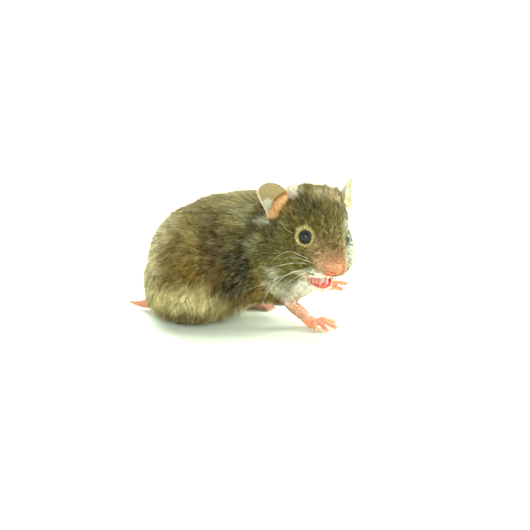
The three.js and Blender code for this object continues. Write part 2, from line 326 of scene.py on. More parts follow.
def attribute(tree, name, output="Fac"):
    return addNode(tree, "Attribute", {"attribute_name": name}).outputs[output]


def noise(tree, place, scale, detail):
    return addNode(tree, "TexNoise", {"Scale": scale, "Detail": detail}, {"Vector": place}).outputs["Fac"]


def cells(tree, place, settings):
    return addNode(tree, "TexVoronoi", settings, {"Vector": place}).outputs["Distance"]


def mapped(tree, source, settings):
    return addNode(tree, "MapRange", settings, {"Value": source}).outputs["Result"]


def levelled(tree, colour, level):
    # A colour made lighter and darker by a pattern.
    settings = {"operation": "SCALE"}
    return addNode(tree, "VectorMath", settings, {"Vector": colour, "Scale": level}).outputs["Vector"]


def wavered(tree, value, pattern, amount, offset):
    # A value with a little of a pattern added.
    wander = addNode(tree, "Math", {"operation": "MULTIPLY_ADD", 1: amount, 2: offset}, {0: pattern})
    total = addNode(tree, "Math", {"operation": "ADD"}, {0: value, 1: wander.outputs["Value"]})
    return total.outputs["Value"]


def bumped(tree, height, settings):
    return addNode(tree, "Bump", settings, {"Height": height}).outputs["Normal"]


def ramp(tree, source, stops):
    # stops: position to hex colour.
    node = addNode(tree, "ValToRGB", {}, {"Fac": source})
    elements = node.color_ramp.elements
    while len(elements) < len(stops):
        elements.new(0.5)
    for element, (position, code) in zip(elements, sorted(stops.items())):
        element.position = position
        element.color = ink(code)
    return node.outputs["Color"]


# Camera

cameraPose = {
    "azimuth": 15, "elevation": 14, "distance": 550, "lens": 83.0,
    "target": (10, 0, 30), "aside": 12.15, "down": 5.85,
}


def makeCamera():
    azimuth, elevation = (math.radians(cameraPose[k]) for k in ("azimuth", "elevation"))
    flat = math.cos(elevation)
    back = np.array((math.sin(azimuth) * flat, -math.cos(azimuth) * flat, math.sin(elevation)))
    right = unit(np.cross(-back, (0, 0, 1)))
    up = np.cross(right, -back)
    target = fromBody(cameraPose["target"])
    place = target + back * cameraPose["distance"]
    aim = target + right * cameraPose["aside"] - up * cameraPose["down"]
    lens = bpy.data.cameras.new("camera")
    lens.lens = cameraPose["lens"]
    lens.sensor_width = 36
    camera = linked("camera", lens)
    camera.location = Vector(place) * mm
    camera.rotation_euler = Vector(aim - place).to_track_quat("-Z", "Y").to_euler()
    bpy.context.scene.camera = camera


makeCamera()
print("camera placed")

# Markings, and some painted light and shade among the patches: the colour of the coat and of bare skin, the
# same for skin and fur

coatTones = {
    "back": "#867c4a", "flank": "#745e24", "belly": "#e6dfb8", "face": "#665d28",
    "throat": "#f4efdc", "bare": "#e5a17e", "wet": "#dd6656",
}
eyeRing = {"right": "#f0e29c", "left": "#c4c4a6"}

# Where a patch of colour lies: frame, middle, half-sizes, colour, strength. Patches off the middle are on
# both sides, but for those in the frame "left", which are on the head and on one side alone.
patches = {
    "saddle": ("body", (4, 0, 58), (44, 20, 12), "#9e9668", 0.6),
    "ridge": ("body", (0, 0, 61), (34, 11, 7), "#c2bb90", 0.75),
    "rearTop": ("body", (-23, 13, 43), (16, 15, 13), "#d0c89e", 0.8),
    "rumpPale": ("body", (-29, 20, 27), (18, 18, 28), "#c6bd90", 0.9),
    "rumpEnd": ("body", (-36, 0, 24), (12, 20, 26), "#c6bd90", 0.9),
    "flankHigh": ("body", (4, 20, 46), (12, 12, 9), "#4e4117", 0.85),
    "haunchRust": ("body", (6, 25, 32), (12, 12, 11), "#46300a", 0.95),
    "rustTop": ("body", (5.5, 23, 39), (8, 8, 7), "#2f2308", 0.75),
    "haunchMid": ("body", (-10, 25, 34), (16, 12, 12), "#77642a", 0.6),
    "haunchHigh": ("body", (-12, 20, 40), (14, 11, 9), "#9a8850", 0.7),
    "lowHaunch": ("body", (-8, 27, 13.4), (31, 16, 9.4), "#d2c48a", 0.95),
    # Darker bottom strip of the haunch where it turns under towards the floor: painted shade.
    "haunchUnderShade": ("body", (-6, 24, -1), (42, 26, 14), "#54471f", 0.95),
    "lowFront": ("body", (12, 22, 19), (10, 11, 12), "#2a230a", 0.95),
    "haunchFront": ("body", (8, 25, 8), (10, 11, 8), "#b8aa70", 0.9),
    "darkBand": ("body", (17.5, 23, 32), (8.5, 11, 22), "#1e1d0a", 1.0),
    "shoulderStreak": ("body", (17, 16, 52), (6, 10, 10), "#a3a378", 0.65),
    "shoulder": ("body", (24, 18, 46), (9, 11, 10), "#423e1c", 0.9),
    "beltMiddle": ("body", (22.5, 22, 39), (3.6, 6, 6.5), "#a6a47c", 0.6),
    "beltLow": ("body", (30.5, 21, 26.5), (4.3, 7, 6.2), "#c6c4a2", 0.75),
    # Darker side of the neck below the ear: painted shade of the ear.
    "neckSide": ("body", (29, 20, 39), (8, 9, 10), "#464019", 0.8),
    "chestFringe": ("body", (32.2, 18, 20), (6.2, 8, 8.6), "#cfccaa", 0.85),
    "chest": ("body", (47, 0, 17), (13, 14, 14), "#fbf8ee", 1.0),
    "chestSide": ("body", (43, 13, 13.5), (14, 12, 13), "#f6f2e0", 0.97),
    "foreleg": ("body", (39, 11, 10), (10, 7, 10), "#cba888", 1.0),
    "brow": ("head", (-7, 9, 11), (10, 9, 8), "#433c14", 0.8),
    "crownTop": ("head", (-7, 1, 19), (13, 13, 5.5), "#b3ac84", 0.8),
    "earFront": ("head", (-11.5, 13.5, 6), (5, 5.5, 7.5), "#8a642c", 0.8),
    "crownTuft": ("head", (-18.5, 10.5, 12.5), (7.4, 6.2, 6.5), "#f2ecd4", 0.95),
    # Darker fur below and behind the ear: painted shade of the ear.
    "behindCheek": ("head", (-8, 20, -2), (5, 6, 6), "#3f3a18", 0.8),
    "bridge": ("head", (6, 0, 5), (12, 5, 7), "#968450", 0.7),
    "lowBridge": ("head", (10, 5, -2.5), (8, 9, 7.5), "#b3956a", 0.8),
    "cheekPale": ("head", (-4, 16, -13), (7, 6, 5), "#857d48", 0.2),
    "earShade": ("head", (-12.8, 23.5, 0.7), (3.4, 6, 2.4), "#c3c6ae", 0.75),
    # Pale far cheek, on the far side alone: painted light, where the light from the right strikes the face.
    "farCheek": ("left", (4, 12.2, -3), (14.5, 7.6, 14), "#cfcfb2", 1.0),
    "farCrown": ("left", (-9.5, 6.5, 14), (7.5, 7.5, 6.5), "#bba97c", 0.9),
    # Pale strip beside the far eye, on the far side alone: painted light.
    "farTemple": ("left", (3, 8, 5), (12, 4.2, 9), "#c9c9a4", 0.7),
    "muzzle": ("head", (13, 4.5, -6.4), (8, 7.5, 6), "#c9a57e", 0.85),
    "noseTop": ("head", (16, 0, -2), (5.5, 5.5, 4.5), "#c0956c", 0.85),
    "jawSide": ("head", (7, 9.6, -15.8), (5, 5, 4.6), "#d3c7a2", 0.85),
    "lip": ("head", (12, 3.3, -12.2), (9.6, 8.4, 4.3), "#f8f0de", 1.0),
    "chin": ("head", (9, 3, -21), (11, 10, 6), "#fbf5e6", 1.0),
    "noseRim": ("head", (17, -1, -6.4), (5, 6.5, 5), "#d9946e", 0.85),
    "underNose": ("left", (16.6, -2.6, -9.1), (2.6, 3, 2.3), "#e05644", 0.95),
}
mottle = {"shift": ((7, 1.3), (2.6, 0.7)), "level": ((9, 0.07), (2.8, 0.07))}


def coatColour(points):
    # The edges of the patches wander, and the whole is lighter and darker by turns.
    stray = np.zeros_like(points)
    for size, amount in mottle["shift"]:
        stray += np.stack([ripple(points, size, int(size * 10) + k) for k in range(3)], axis=1) * amount
    body = points + stray - shift
    head = inHead(points + stray * 0.4)
    mirrored = {"body": body * (1, -1, 1), "head": head * (1, -1, 1)}
    plain = {"body": body, "head": head, "left": head}
    tones = {name: linear(code) for name, code in coatTones.items()}
    colour = np.tile(tones["flank"], (len(points), 1))
    colour = blend(colour, tones["back"], ease(body[:, 2], 30, 54))
    face = ease(head[:, 0], -24, -12) * ease(head[:, 2], -27, -20)
    colour = blend(colour, tones["face"], face)
    colour = blend(colour, tones["belly"], 1 - ease(body[:, 2] + 0.35 * np.abs(body[:, 1]), 5, 15))
    under = (1 - ease(head[:, 2] - 0.25 * head[:, 0], -24, -18.5)) * ease(head[:, 0], -2, 5)
    colour = blend(colour, tones["throat"], under)
    for frameName, centre, half, code, strength in patches.values():
        spot = softSpot(plain[frameName], centre, half)
        if centre[1] and frameName != "left":
            spot = np.maximum(spot, softSpot(mirrored[frameName], centre, half))
        colour = blend(colour, linear(code), spot * strength)
    head = inHead(points)
    for name, place in eyePlace.items():  # a pale ring of hair round each eye, wider behind and above
        away = length(head - place - (-0.7, 0, 0.2))
        colour = blend(colour, linear(eyeRing[name]), (1 - ease(away, 4.3, 5.9)) * 0.95)
    for size, amount in mottle["level"]:
        colour = colour * (1 + amount * ripple(points, size, int(size * 7)))[:, None]
    return np.clip(colour, 0, 1)


# Coat by node: its depth over the skin, in mm. On the head it goes by the place along the snout instead.

coatDepth = {
    "torso": 4.2, "neck": 3.8, "haunch_left": 4.2, "haunch_right": 4.2, "foreleg_left": 0.45,
    "foreleg_right": 0.45, "head": 2.6, "lower_jaw": 0.5, "tail": 0.1,
    "forepaw_left": 0.05, "forepaw_right": 0.05, "hindfoot_left": 0.05, "hindfoot_right": 0.05,
}
headDepth = {-26: 3.8, -12: 2.7, -2: 1.9, 6: 1.4, 11: 1.0, 17: 0.45}

# Where no coat grows: the middle on the head and half-sizes.
openings = {"mouth": ((7.8, -1.5, -16), (9.4, 5.7, 1.9)), "nose": ((16.9, -0.8, -6.2), (2.6, 2.8, 2.4))}


def nearestNode(points):
    # For each point, the index of the flesh node whose packed surface is nearest.
    names = list(coatDepth)
    clouds = [np.unique(readPoints(frame["nodes"][name].data).round(3), axis=0) for name in names]
    labels = np.concatenate([[k] * len(cloud) for k, cloud in enumerate(clouds)])
    return labels[nearestOf(np.vstack(clouds), points)], names


def depthAt(points, labels, names, edges):
    body, head = points - shift, inHead(points)
    depth = np.array([coatDepth[name] for name in names])[labels]
    onHead = labels == names.index("head")
    depth = np.where(onHead, np.interp(head[:, 0], list(headDepth), list(headDepth.values())), depth)
    depth = np.where(onHead & (head[:, 2] < -14), np.minimum(depth, 1.6), depth)
    depth = np.where(body[:, 2] < 1, np.minimum(depth, 1.8), depth)
    depth = evened(depth[:, None], edges, skinMake["evened"])[:, 0]
    for place in eyePlace.values():
        depth = blend(0.25, depth, ease(length(head - place), 3.6, 8))
    depth = blend(0.12, depth, ease(farOut(head, *openings["mouth"]), 1.05, 1.7))
    return blend(0.1, depth, ease(farOut(head, *openings["nose"]), 1.05, 1.7))


# Skin

# Clearance over the floor, sizes of the remeshing, and numbers of steps; millimetres.
skinMake = {"clear": 0.3, "voxel": 0.62, "pawVoxel": 0.3, "swell": 0.22, "insetSteps": 10, "evened": 14}
fleshNodes = [
    "torso", "neck", "head", "lower_jaw", "haunch_left", "haunch_right", "foreleg_left", "foreleg_right",
]
bareNodes = ["forepaw_left", "forepaw_right", "hindfoot_left", "hindfoot_right", "tail"]


def remeshed(mesh, voxel):
    shell = linked("shell", mesh)
    melt = shell.modifiers.new("melt", "REMESH")
    melt.mode = "VOXEL"
    melt.voxel_size = voxel * mm
    graph = bpy.context.evaluated_depsgraph_get()
    made = bpy.data.meshes.new_from_object(shell.evaluated_get(graph))
    bpy.data.objects.remove(shell)
    return made


def swollen(names, swell):
    joined = bmesh.new()
    for name in names:
        part = bmesh.new()
        part.from_mesh(frame["nodes"][name].data)
        bmesh.ops.remove_doubles(part, verts=part.verts, dist=0.01 * mm)
        part.normal_update()
        for vert in part.verts:
            vert.co += vert.normal * swell * mm
        mesh = meshOf(part, "part")
        joined.from_mesh(mesh)
        bpy.data.meshes.remove(mesh)
    return meshOf(joined, "joined")


def relax(points, edges, rounds):
    # Smoothing that keeps the volume: a step in, a step out.
    for step in range(rounds * 2):
        move = neighbourMean(points, edges) - points
        points = points + move * (0.5 if step % 2 == 0 else -0.52)
    return points


def makeFlesh():
    mesh = remeshed(swollen(fleshNodes, skinMake["swell"]), skinMake["voxel"])
    edges = readEdges(mesh)
    outer = relax(readPoints(mesh), edges, 3)
    writePoints(mesh, outer)
    outerNormal = readNormals(mesh)
    for _ in range(skinMake["evened"]):
        outerNormal = unit(neighbourMean(outerNormal, edges))
    labels, names = nearestNode(outer)
    depth = depthAt(outer, labels, names, edges)
    inner = outer
    steps = skinMake["insetSteps"]
    for _ in range(steps):
        normal = unit(neighbourMean(readNormals(mesh), edges))
        inner = inner - normal * (depth / steps)[:, None]
        inner = blend(inner, neighbourMean(inner, edges), np.clip(depth / 3, 0, 1) * 0.5)
        inner[:, 2] = np.maximum(inner[:, 2], skinMake["clear"])
        writePoints(mesh, inner)
    return mesh, outer, outerNormal, depth, labels, names


flesh, outer, outerNormal, depth, labels, names = makeFlesh()
print("flesh:", len(flesh.vertices), "corners,", len(flesh.polygons), "faces")

# Paws and tail, bare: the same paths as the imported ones, with knuckles and pads

paws = {
    "forepaw_right": {
        "palm": ((40.5, -9.6, 7.5), (43.5, -8.6, 3.4), (46.2, -8, 2.4)), "lift": 1.3,
        "toes": ((-68, 7.6), (-40, 9.8), (-8, 10.4), (38, 10.6)),
    },
    "forepaw_left": {
        "palm": ((45.4, 8.8, 14.9), (47.8, 8.8, 15.3), (50.6, 9, 15)), "lift": 0.4,
        "toes": (((51.3, 8.2, 15.9), (58, 8.4, 16.3)), ((50.6, 8, 13.6), (56, 8.1, 13.7)),
                 ((51.3, 10.6, 15.5), (56.3, 11.2, 15.8)), ((50.4, 10.4, 13.6), (53.8, 10.9, 13.2))),
    },
    "hindfoot_right": {"heel": (-17.5, -11.5), "heading": -3},
    "hindfoot_left": {"heel": (4.5, 13.5), "heading": 2},
}
# How thick the palms, the soles and the toes are, and how long a hind foot is.
pawMake = {
    "palm": (2.2, 2.3, 2.75), "sole": (2.5, 2.7, 2.9), "toe": 1.15, "hindToe": 0.93, "footLength": 18.5,
}
tailMake = {
    "path": ((-26, 4.8), (-31, 3.6), (-35, 2.9), (-38.8, 2.7), (-42.3, 3.2)),
    "radii": (3, 2.7, 2.25, 1.35, 0.4),
}
floorClear = 0.05
claws = []  # each: base, middle and tip, in packed millimetres


def toeAlong(bm, start, end, lift, thick):
    # A bent toe with a pad under its tip, and a claw in front of that.
    start, end = np.array(start, float), np.array(end, float)
    over = start + (end - start) * 0.45 + (0, 0, lift)
    second = start + (end - start) * 0.78 + (0, 0, lift * 0.35)
    drawnOut(bm, [start, over, second, end], thick * np.array((1, 1.02, 0.84, 0.9, 0.8)), 14, 22)
    way = unit(end - over)
    pad = end + unit(over - end) * 0.5 - (0, 0, 0.25)
    drawnOut(bm, [pad, pad + way * 0.7], thick * np.array((0.8, 0.72)), 12, 10)
    tip = end + way * 1.6
    tip[2] = max(tip[2] - 0.45, 0.4 + shift[2])
    claws.append((end + way * 0.25 + (0, 0, 0.3), end + way * 1.0 + (0, 0, 0.32), tip))


def makePaws():
    bm = bmesh.new()
    for name in ("forepaw_right", "forepaw_left"):
        paw = paws[name]
        palm = [fromBody(place) for place in paw["palm"]]
        drawnOut(bm, palm, pawMake["palm"], 18, 18, 0.9)
        for start, end in paw["toes"]:
            if name == "forepaw_right":  # a heading and a reach from the middle of the palm
                ahead = np.array((math.cos(math.radians(start)), math.sin(math.radians(start)), 0))
                start, end = palm[-1] + ahead * 1.2 - (0, 0, 0.2), palm[-1] + ahead * end - (0, 0, 1.1)
            else:
                start, end = fromBody(start), fromBody(end)
            toeAlong(bm, start, end, paw["lift"], pawMake["toe"])
    heel = fromBody(paws["forepaw_right"]["palm"][-1])
    for aside in (-1, 1):  # the two pads at the heel of the planted hand
        pad = heel + np.array((-1.4, 1.3 * aside, -1.5))
        drawnOut(bm, [pad, pad + (1.6, 0, -0.1)], [0.95, 0.9], 10, 8)
    for name in ("hindfoot_right", "hindfoot_left"):
        foot = paws[name]
        way = math.radians(foot["heading"])
        forward = np.array((math.cos(way), math.sin(way), 0))
        leftward = np.array((-math.sin(way), math.cos(way), 0))
        heel = fromBody((*foot["heel"], 0))

        def spot(along, aside, height):
            return heel + forward * along + leftward * aside + np.array((0, 0, height))

        drawnOut(bm, [spot(0, 0, 2.3), spot(6, 0, 2.4), spot(12, 0, 2.3)], pawMake["sole"], 18, 20, 0.85)
        for aside in (-3, -1.5, 0, 1.5, 3):
            long = pawMake["footLength"] - 0.7 * abs(aside)
            toeAlong(bm, spot(12, aside * 0.6, 2), spot(long, aside * 1.15, 1.1), 0.7, pawMake["hindToe"])
    tail = [fromBody((x, 0, z)) for x, z in tailMake["path"]]
    drawnOut(bm, tail, tailMake["radii"], 18, 30)
    made = remeshed(meshOf(bm, "paws"), skinMake["pawVoxel"])
    points = relax(readPoints(made), readEdges(made), 4)
    points[:, 2] = np.maximum(points[:, 2], floorClear)
    writePoints(made, points)
    return made


bare = makePaws()
print("paws and tail:", len(bare.polygons), "faces")


def makeSkin():
    bm = bmesh.new()
    bm.from_mesh(flesh)
    bm.from_mesh(bare)
    mesh = meshOf(bm, "skin")
    mesh.shade_smooth()
    return linked("skin", mesh)


skin = makeSkin()


def unwrap(piece):
    for other in bpy.context.scene.objects:
        other.select_set(False)
    bpy.context.view_layer.objects.active = piece
    piece.select_set(True)
    piece.data.uv_layers.new(name="OFBake")
    bpy.ops.object.mode_set(mode="EDIT")
    bpy.ops.mesh.select_all(action="SELECT")
    bpy.ops.uv.smart_project(angle_limit=math.radians(66), island_margin=0.001)
    bpy.ops.object.mode_set(mode="OBJECT")


unwrap(skin)


def hollows(mesh):
    # How deep each corner lies in a crease, in mm.
    points = readPoints(mesh)
    soft = evened(points, readEdges(mesh), 10)
    return np.sum((soft - points) * readNormals(mesh), axis=1)


def colourSkin():
    points = np.vstack([outer, readPoints(bare)])
    furry = np.concatenate([ease(depth, 0.5, 1.3), np.zeros(len(bare.vertices))])
    crease = np.concatenate([np.zeros(len(outer)), ease(hollows(bare), 0.01, 0.14)])
    head, body = inHead(points), points - shift
    flushed = np.tile(linear(coatTones["bare"]), (len(points), 1))
    flushed = blend(flushed, linear("#e58a68"), np.clip(0.4 + 0.4 * ripple(points, 5, 3), 0, 1))
    # Deeper red in the creases between toes and pads: painted shade.
    flushed = blend(flushed, linear("#c8503c"), crease * 0.85)
    # The hind feet, under the belly, darker and browner: painted shade.
    behind = (1 - ease(body[:, 0], 20, 27)) * ease(body[:, 0], -24, -20)
    flushed = blend(flushed, linear("#a87c68"), behind * 0.75)
    colour = blend(flushed, coatColour(points) * 0.42, furry)
    colour = blend(colour, colour * 0.64, (1 - ease(body[:, 0], -27, -25)) * (1 - furry))  # the tail
    around = farOut(head, *openings["mouth"])
    lip = ease(around, 1.08, 1.16) * (1 - ease(around, 1.5, 2.1)) * (1 - ease(head[:, 2], -11, -8))
    colour = blend(colour, linear("#f8eadb"), lip * 0.85)
    wet = 1 - ease(around, 1.02, 1.12)
    colour = blend(colour, linear(coatTones["wet"]), wet)
    for place in eyePlace.values():
        away = length(head - place)
        colour = blend(colour, linear("#cdbb78"), 1 - ease(away, 4.6, 6))
        colour = blend(colour, linear("#2a1d12"), 1 - ease(away, 3.3, 3.6))
    paint(skin.data, "skinTint", colour)
    number(skin.data, "wetness", wet)


colourSkin()


def translucent(weight, radius, scale):
    return {"Subsurface Weight": weight, "Subsurface Radius": radius, "Subsurface Scale": scale}


def skinMaterial():
    # Thin bare skin: matt, faintly translucent, finely creased, and wet in the mouth.
    material, tree, place = newMaterial("thinBareSkin")
    # Blotches 1.2 mm across and creases 0.35 mm apart.
    blotch = {"From Min": 0.3, "From Max": 0.7, "To Min": 0.86, "To Max": 1.1}
    level = mapped(tree, noise(tree, place, 830, 3), blotch)
    crease = cells(tree, place, {"Scale": 2800, "feature": "DISTANCE_TO_EDGE"})
    surface(tree, {"IOR": 1.4, **translucent(0.25, (1.0, 0.35, 0.2), 0.0012)}, {
        "Base Color": levelled(tree, attribute(tree, "skinTint", "Color"), level),
        "Roughness": mapped(tree, attribute(tree, "wetness"), {"To Min": 0.5, "To Max": 0.18}),
        "Normal": bumped(tree, crease, {"Strength": 0.35, "Distance": 0.0001}),
    })
    return material


skin.data.materials.append(skinMaterial())
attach(skin, "root")
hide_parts(*fleshNodes, *bareNodes)
print("skin:", len(skin.data.polygons), "faces")

# Eyes and lids

# The gaze is turned outwards by so many degrees and raised by so much; the rim of the lids is a ring.
eyeMake = {"radius": 3.3, "turn": 51, "raised": 0.2, "rim": 2.74, "rimThick": 0.32, "rimOut": 1.84}


def eyeMaterial():
    # A wet eyeball under a clear cornea, nearly black, with green-grey rings round its middle that are a
    # painted reflection of the bright surroundings.
    material, tree, place = newMaterial("wetEyeball")
    fibre = noise(tree, place, 2600, 2)
    at = wavered(tree, attribute(tree, "fromPupil"), fibre, 0.1, -0.05)
    colour = ramp(tree, at, {
        0.0: "#020303", 0.15: "#040606", 0.21: "#26382f", 0.27: "#050807", 0.42: "#13201b", 0.5: "#263b31",
        0.57: "#0b120f", 0.64: "#030303",
    })
    surface(tree, {
        "Roughness": 0.25, "IOR": 1.2, "Specular IOR Level": 0.2, "Coat Weight": 0.9, "Coat Roughness": 0.03,
        "Coat IOR": 1.36,
    }, {"Base Color": colour})
    return material


def lidMaterial():
    # The thin bare margin of the lids, dark brown and moist.
    material, tree, place = newMaterial("lidMargin")
    fold = noise(tree, place, 2200, 3)
    surface(tree, {"Roughness": 0.32, "IOR": 1.4}, {
        "Base Color": ramp(tree, fold, {0.3: "#140c08", 0.7: "#3b2619"}),
        "Normal": bumped(tree, fold, {"Strength": 0.4, "Distance": 0.0001}),
    })
    return material


def makeEyes():
    eyeLook, lidLook = eyeMaterial(), lidMaterial()
    for name, side in sides.items():
        centre = Vector(middleOf("eye_" + name)) * mm
        out = math.radians(eyeMake["turn"])
        gaze = unit(np.array((math.cos(out), math.sin(out) * side, eyeMake["raised"])))
        turn = Vector(headAxes @ gaze).to_track_quat("Z", "Y")
        bm = bmesh.new()
        made = bmesh.ops.create_uvsphere(bm, u_segments=48, v_segments=32, radius=1)["verts"]
        share = []
        for vert in made:
            share.append(math.acos(max(-1, min(1, vert.co.z))) / (math.pi / 2))
            bulge = 1 + 0.03 * max(0.0, 1 - share[-1] / 0.7) ** 2  # the cornea
            vert.co = turn @ (vert.co * eyeMake["radius"] * bulge * mm) + centre
        mesh = meshFrom(bm, "eye")
        number(mesh, "fromPupil", share)
        mesh.materials.append(eyeLook)
        eye = linked("eyeball_" + name, mesh)
        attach(eye, "root")
        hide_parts("eye_" + name)

        bm = bmesh.new()
        ring = bmesh.ops.create_circle(bm, segments=10, radius=eyeMake["rimThick"] * mm)
        for vert in ring["verts"]:
            vert.co = Vector((vert.co.x * 0.8 + eyeMake["rim"] * mm, 0, vert.co.y))
        bmesh.ops.spin(bm, geom=bm.verts[:] + bm.edges[:], axis=(0, 0, 1), cent=(0, 0, 0), steps=44,
                       angle=math.tau, use_merge=True)
        for vert in bm.verts:
            vert.co.z += eyeMake["rimOut"] * mm
            vert.co = turn @ vert.co + centre
        bmesh.ops.remove_doubles(bm, verts=bm.verts, dist=0.01 * mm)
        mesh = meshFrom(bm, "lid")
        mesh.materials.append(lidLook)
        lid = linked("lid_" + name, mesh)
        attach(lid, "root")


makeEyes()
print("eyes and lids made")

# Nose

shortHair = {}  # pieces that carry short hair of their own, filled in as they are made
noseMake = {"middle": (16.7, -1.2, -6.3), "half": (2.6, 3.25, 2.4)}


def noseMaterial():
    # The bare pad of the nose: pink, moist, pebbled in humps a quarter of a millimetre across.
    material, tree, place = newMaterial("moistNosePad")
    pink = ramp(tree, noise(tree, place, 700, 2), {0.3: "#c47250", 0.7: "#d98f68"})
    # `deep` carries the pad's deeper red together with painted shade.
    deep = attribute(tree, "deep")
    colour = addNode(tree, "Mix", {"data_type": "RGBA", 7: ink("#a93a2a")}, {0: deep, 6: pink})
    pebble = cells(tree, place, {"Scale": 3600, "Randomness": 0.9})
    surface(tree, {"Roughness": 0.6, "IOR": 1.3, **translucent(0.3, (1.0, 0.35, 0.2), 0.001)}, {
        "Base Color": colour.outputs[2],
        "Normal": bumped(tree, pebble, {"Strength": 0.3, "Distance": 0.00006, "invert": True}),
    })
    return material


def makeNose():
    bm = bmesh.new()
    bmesh.ops.create_icosphere(bm, subdivisions=6, radius=1)
    local = placesOf(bm)
    x, y, z = local.T
    wings = 1 + 0.08 * np.exp(-((np.abs(y) - 0.75) / 0.3) ** 2 - ((z + 0.1) / 0.35) ** 2)
    groove = np.exp(-(y / 0.09) ** 2) * ease(-z, 0.1, 0.7) * 0.12
    # A comma-shaped slit on each side, low on the pad: it starts beside the groove and runs out and up.
    slit = np.zeros(len(local))
    for t in np.linspace(0, 1, 14):
        spotY, spotZ, wide = 0.14 + 0.66 * t, -0.68 + 0.42 * t * t, 0.15 - 0.05 * t
        gap = ((np.abs(y) - spotY) ** 2 + (z - spotZ) ** 2) / wide ** 2
        slit = np.maximum(slit, np.exp(-gap) * (x > -0.2))
    push = wings - groove - 0.22 * slit
    local = local * np.stack([np.ones(len(z)), 0.94 + 0.16 * z, np.ones(len(z))], axis=1)
    moveTo(bm, fromHead(local * noseMake["half"] * push[:, None] + noseMake["middle"]))
    mesh = meshFrom(bm, "nose")
    # Darker red in the nostril slits, the middle groove and the lower half: the pad's own deeper red there,
    # with painted shade in it; the extra red towards the near side (-y) is painted shade.
    deep = slit * 1.2 + groove * 3 + 0.5 * ease(-z, 0, 0.8) + 0.35 * ease(-y, 0, 1)
    number(mesh, "deep", np.clip(deep, 0, 1))
    mesh.materials.append(noseMaterial())
    shortHair["coat_nose"] = {
        "mesh": mesh, "count": 4200, "long": (0.6, 1.5), "width": 0.07, "way": headAxes @ (-0.8, 0, 0.6),
        "hairy": ease(z + 0.45 * np.abs(y), -0.2, 0.45) * ease(x, -0.7, 0.1), "pale": "#f4dcb8",
        "tone": np.tile(linear("#c98a62"), (len(z), 1)),
        "map": np.stack([0.5 + 0.4 * y, 0.5 + 0.4 * z], axis=1),
    }
    nose = linked("nose_pad", mesh)
    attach(nose, "root")
    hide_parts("nose")


makeNose()
print("nose made")

# Mouth: tongue and lower incisors

mouthMake = {"tongue": (6.3, 4.5, 1.35), "tongueAt": (6.2, -1.5, -16.6), "teethApart": 0.62}


def tongueMaterial():
    # A wet tongue: soft red, with papillae a fifth of a millimetre across.
    material, tree, place = newMaterial("wetTongue")
    bud = cells(tree, place, {"Scale": 4500})
    surface(tree, {"Roughness": 0.2, "IOR": 1.4, **translucent(0.3, (1.0, 0.3, 0.2), 0.001)}, {
        "Base Color": ramp(tree, bud, {0.1: "#e2705f", 0.6: "#bf4038"}),
        "Normal": bumped(tree, bud, {"Strength": 0.5, "Distance": 0.00008, "invert": True}),
    })
    return material


def toothMaterial():
    # Rodent enamel: hard, glossy and yellow, in paler and deeper bands.
    material, tree, place = newMaterial("yellowEnamel")
    colour = ramp(tree, noise(tree, place, 900, 2), {0.3: "#e6b967", 0.7: "#f6e6b8"})
    surface(tree, {"Roughness": 0.22, "IOR": 1.6}, {"Base Color": colour})
    return material


def makeMouth():
    bm = bmesh.new()
    bmesh.ops.create_icosphere(bm, subdivisions=5, radius=1)
    local = placesOf(bm)
    groove = 1 - 0.18 * np.exp(-(local[:, 1] / 0.14) ** 2) * (local[:, 2] > 0)
    scaled = local * mouthMake["tongue"]
    scaled[:, 2] *= groove
    moveTo(bm, fromHead(scaled + mouthMake["tongueAt"]))
    mesh = meshFrom(bm, "tongue")
    mesh.materials.append(tongueMaterial())
    tongue = linked("tongue_wet", mesh)
    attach(tongue, "root")
    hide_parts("tongue")

    bm = bmesh.new()
    for aside in (mouthMake["teethApart"], -mouthMake["teethApart"]):
        places = fromHead([(8.4, aside - 1, -19.7), (10.6, aside - 1, -18.5), (11.6, aside - 1, -16.5)])
        drawnOut(bm, places, [0.68, 0.6, 0.36], 14, 16)
    mesh = meshFrom(bm, "teeth")
    mesh.materials.append(toothMaterial())
    teeth = linked("lower_teeth", mesh)
    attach(teeth, "root")
    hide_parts("incisors")


makeMouth()
print("mouth made")

# Claws

def clawMaterial():
    # Thin translucent horn, pale at the tip and pinker where the quick shows at the root.
    material, tree, place = newMaterial("clawHorn")
    at = wavered(tree, attribute(tree, "along"), noise(tree, place, 3000, 2), 0.25, -0.12)
    colour = ramp(tree, at, {0.1: "#dd9478", 0.5: "#e8c3a6", 0.95: "#efe2cc"})
    surface(tree, {"Roughness": 0.3, "IOR": 1.54}, {"Base Color": colour})
    return material


def makeClaws():
    bm = bmesh.new()
    share = []
    for root, middle, tip in claws:
        start = len(bm.verts)
        drawnOut(bm, [root, middle, tip], [0.42, 0.34, 0.08], 8, 10)
        bm.verts.ensure_lookup_table()
        for vert in bm.verts[start:]:
            place = np.array(vert.co) / mm
            share.append(np.dot(place - root, tip - root) / np.dot(tip - root, tip - root))
    for vert in bm.verts:
        vert.co.z = max(vert.co.z, floorClear * mm)
    mesh = meshFrom(bm, "claws")
    number(mesh, "along", np.clip(share, 0, 1))
    mesh.materials.append(clawMaterial())
    piece = linked("claws", mesh)
    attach(piece, "root")


makeClaws()
print("claws made:", len(claws))

# Ears: thin leaves, cupped, with a fold of skin along the front edge

earMake = {
    "thick": 0.42, "middle": (1, 6.6), "height": 13.5,
    # How far the rim of the right ear is from its middle, every 20 degrees from the inner edge upwards.
    "reach": (6, 6.2, 6.5, 7.1, 7.5, 7.4, 6.1, 5.5, 5.4, 6.3, 8.4, 8.2, 6.1, 5.7, 5.7, 6, 6.3, 6),
    "right": {"root": (-14, -14.3, 6.6), "up": (-0.5, -0.79, 0.3), "facing": (0.84, -0.33, 0.43)},
    "left": {"root": (-14, 12.3, 8.1), "up": (-0.3, 0.2, 0.93), "facing": (0.68, 0.72, 0.1)},
}


